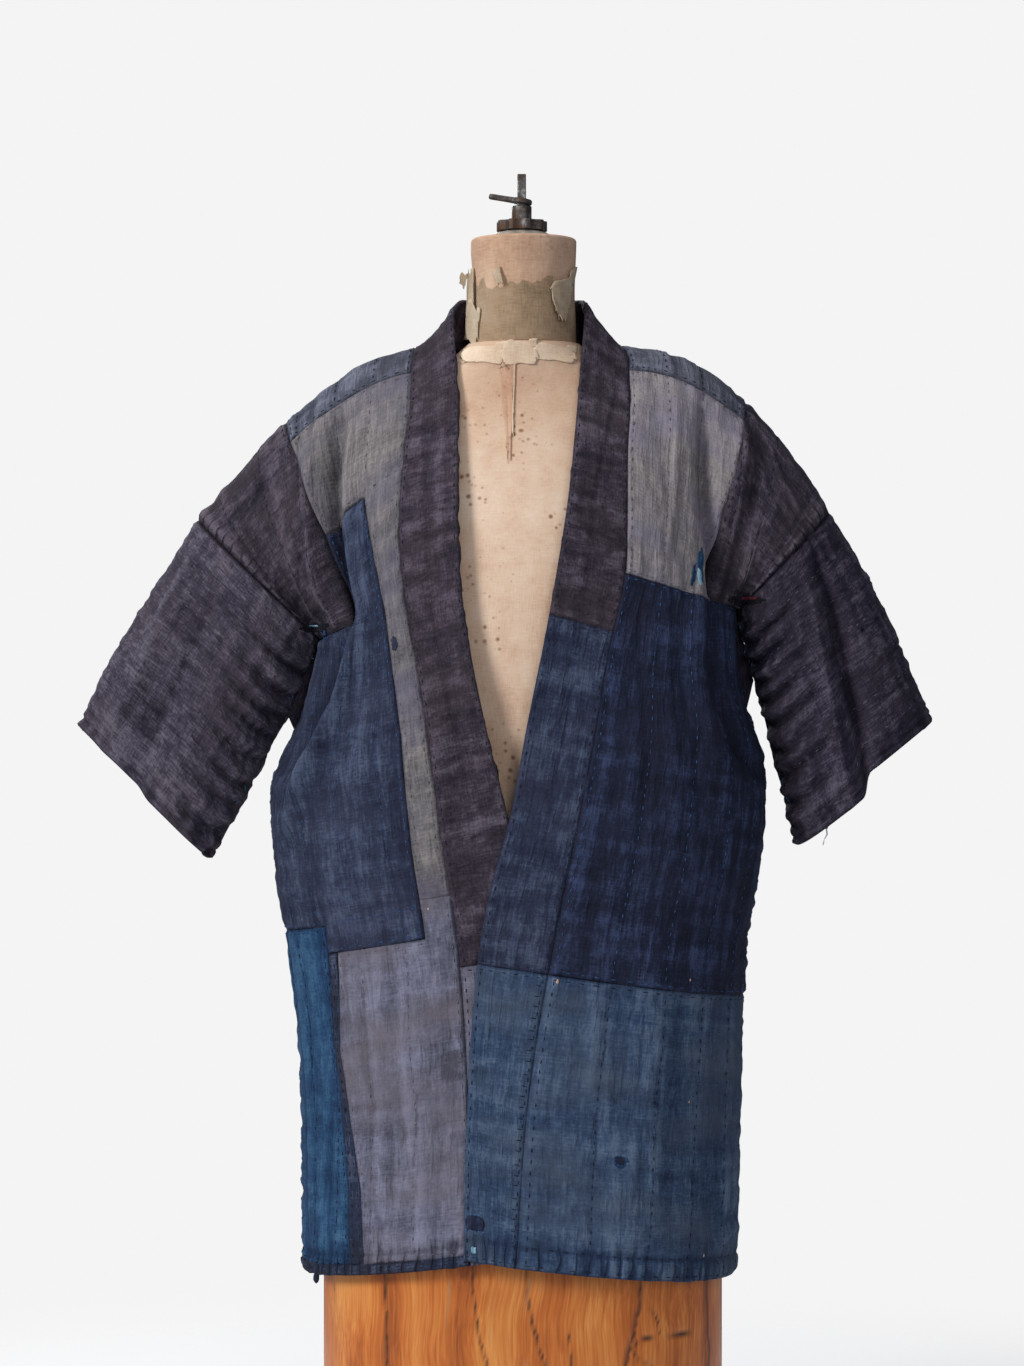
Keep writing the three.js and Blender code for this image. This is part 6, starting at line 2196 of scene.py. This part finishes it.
@dataclass
class Stump:
    """Oval trunk under the form, with rounded edges and dry cracks."""

    x: float = 2.5
    half_width: float = 185.0
    half_depth: float = 127.0
    height: float = 450.0
    edge: float = 7.0
    exponent: float = 2.2
    lobes: int = 5
    lobe_depth: float = 1.6
    sides: int = 420
    finer_front: float = 0.045
    cracks: tuple[Crack, ...] = (
        Crack(1.3, 2.4, ((-119, 450), (-120, 232), (-118, 180), (-121, 90), (-117, 0))),
        Crack(0.9, 1.2, ((-44, 450), (-42, 240), (-36, 198), (-30, 172), (-25, 148), (-30, 60))),
        Crack(0.9, 1.2, ((4, 330), (6, 238), (11, 208), (20, 178), (27, 148), (30, 70), (24, 0))),
        Crack(1.4, 2.2, ((104, 330), (107, 225), (100, 195), (96, 180), (89, 148), (84, 60), (88, 0))),
        Crack(0.9, 1.1, ((97, 182), (107, 191), (124, 194), (154, 191))),
        Crack(0.8, 1.0, ((98, 182), (110, 171), (129, 153), (140, 120))),
        Crack(0.8, 1.0, ((117, 220), (122, 207), (125, 194))),
        Crack(1.0, 1.2, ((170, 330), (169, 226), (170, 168), (168, 40))),
        Crack(0.7, 0.8, ((42, 200), (45, 176), (46, 165))),
    )

    def build(self) -> None:
        """Builds the stump, its front cut more finely than its back."""
        share = np.linspace(0.0, 1.0, self.sides + 1)
        turns = 2.0 * math.pi * (share + self.finer_front * np.sin(2.0 * math.pi * share)) + math.pi / 2
        round_edge = self.edge * (1.0 - np.cos(np.linspace(0.0, math.pi / 2, 5)))
        levels = np.concatenate([round_edge, np.linspace(self.edge, self.height - self.edge, 100)[1:-1],
                                 self.height - round_edge[::-1]])
        bm = lofted(levels, self.ring, turns)
        timber = Timber("oiled_trunk_wood", roughness=0.38, specular=0.45, coat=0.15)
        piece = finished(bm, "stump_wood", timber, ("stump",))
        places = np.array([vertex.co for vertex in piece.data.vertices]) / MM
        give_attribute(piece.data, "crack", self.crack_at(*places.T)[0])

    def crack_at(self, x: np.ndarray, y: np.ndarray, z: np.ndarray) -> tuple[np.ndarray, np.ndarray]:
        """Crack strength and depth at points of the trunk. The back has the front's cracks, turned round."""
        strength, depth = np.zeros(len(x)), np.zeros(len(x))
        front = y < 0.0
        wander = 1.2 * noise(np.column_stack([x / 9.0, z / 11.0]), 8)
        for crack in self.cracks:
            for there, sign in ((front, 1.0), (~front, -1.0)):
                here = crack.strength(sign * x + wander, z) * there
                strength = np.maximum(strength, here)
                depth = np.maximum(depth, here * crack.depth)
        return strength, depth

    def ring(self, level: float, turns: np.ndarray) -> np.ndarray:
        """A level ring of the trunk, with its swell, its grain and its cracks."""
        from_end = min(level, self.height - level)
        inset = 0.0
        if from_end < self.edge:
            q = 1.0 - from_end / self.edge
            inset = self.edge * (1.0 - math.sqrt(max(1.0 - q * q, 0.0)))
        power = 2.0 / self.exponent
        x = (self.half_width - inset) * signed_power(np.cos(turns), power)
        y = (self.half_depth - inset) * signed_power(np.sin(turns), power)
        outward = np.column_stack([x, y])
        outward /= np.linalg.norm(outward, axis=1)[:, None]
        swell = self.lobe_depth * (np.sin(self.lobes * turns) - 1.0)
        wave = 0.5 * noise(np.column_stack([x / 22.0, y / 22.0, np.full_like(x, level / 160.0)]), 6) - 0.5
        _, depth = self.crack_at(x + self.x, y, np.full_like(x, level))
        shift = swell + wave - depth
        return np.column_stack([
            self.x + x + outward[:, 0] * shift, y + outward[:, 1] * shift, np.full_like(x, level),
        ])


# ---------------------------------------------------------------- the studio


@dataclass(frozen=True)
class Softbox:
    """A large soft lamp that points at the jacket."""

    name: str
    place: tuple[float, float, float]
    size: float
    power: float

    def build(self, target: Vector) -> None:
        """Hangs the lamp."""
        light = bpy.data.lights.new(self.name, "AREA")
        light.shape = "DISK"
        light.size = self.size
        light.energy = self.power
        lamp = bpy.data.objects.new(self.name, light)
        lamp.location = self.place
        lamp.rotation_euler = (target - Vector(self.place)).to_track_quat("-Z", "Y").to_euler()
        bpy.context.scene.collection.objects.link(lamp)


@dataclass
class Studio:
    """Camera, soft light, pale floor and background."""

    camera_place: tuple[float, float, float] = (-0.0074, -3.2, 0.775)
    frame_height: float = 1.2567
    sensor: float = 36.0
    target: tuple[float, float, float] = (0.0, 0.0, 0.75)
    background: str = "#f4f4f4"
    ambient: float = 0.24
    ambient_tint: str = "#e2e8fb"
    floor_radius: float = 3.0
    floor_drop: float = 0.5
    lamps: tuple[Softbox, ...] = (
        Softbox("key", (-2.5, -2.1, 1.95), 1.1, 84.0),
        Softbox("fill", (0.7, -3.2, 1.6), 1.4, 22.0),
        Softbox("top", (-0.5, 0.0, 3.1), 1.2, 20.0),
        Softbox("rear", (-0.9, 2.7, 2.2), 1.6, 60.0),
    )

    def build(self) -> None:
        """Sets up everything round the object."""
        camera = bpy.data.cameras.new("camera")
        camera.sensor_fit = "VERTICAL"
        camera.sensor_height = self.sensor
        camera.lens = self.sensor * -self.camera_place[1] / self.frame_height
        camera.dof.use_dof = False
        stand = bpy.data.objects.new("camera", camera)
        stand.location = self.camera_place
        stand.rotation_euler = (math.pi / 2, 0.0, 0.0)
        bpy.context.scene.collection.objects.link(stand)
        bpy.context.scene.camera = stand
        for lamp in self.lamps:
            lamp.build(Vector(self.target))
        self.surroundings()
        log.info("studio: camera at %s, %d lamps", self.camera_place, len(self.lamps))

    def surroundings(self) -> None:
        """Even light from all round, a plain background and the floor."""
        world = bpy.data.worlds.new("studio")
        bpy.context.scene.world = world
        world.use_nodes = True
        tree = world.node_tree
        tree.nodes.clear()
        seen = add(tree, "ShaderNodeBackground", {}, {"Color": linear(self.background), "Strength": 1.0})
        lit = add(tree, "ShaderNodeBackground", {}, {
            "Color": linear(self.ambient_tint), "Strength": self.ambient,
        })
        ray = add(tree, "ShaderNodeLightPath").outputs["Is Camera Ray"]
        mixed = add(tree, "ShaderNodeMixShader", {}, {0: ray, 1: lit.outputs[0], 2: seen.outputs[0]})
        add(tree, "ShaderNodeOutputWorld", {}, {"Surface": mixed.outputs[0]})
        bm = bmesh.new()
        bmesh.ops.create_circle(bm, cap_ends=True, radius=self.floor_radius, segments=96)
        mesh = bpy.data.meshes.new("floor")
        bm.to_mesh(mesh)
        bm.free()
        mesh.materials.append(StudioFloor("matt_white_floor", roughness=0.95, specular=0.1).material())
        floor = bpy.data.objects.new("floor", mesh)
        floor.location = (0.0, 0.0, -self.floor_drop * MM)
        bpy.context.scene.collection.objects.link(floor)
        scene = bpy.context.scene
        scene.view_settings.view_transform = "Standard"
        scene.view_settings.look = "None"


def main() -> None:
    """Builds the studio, the jacket, the form and the stump."""
    logging.basicConfig(level=logging.INFO, format="%(relativeCreated)d ms: %(message)s")
    Studio().build()
    Jacket().build()
    DressForm().build()
    Stump().build()


if __name__ == "__main__":
    main()
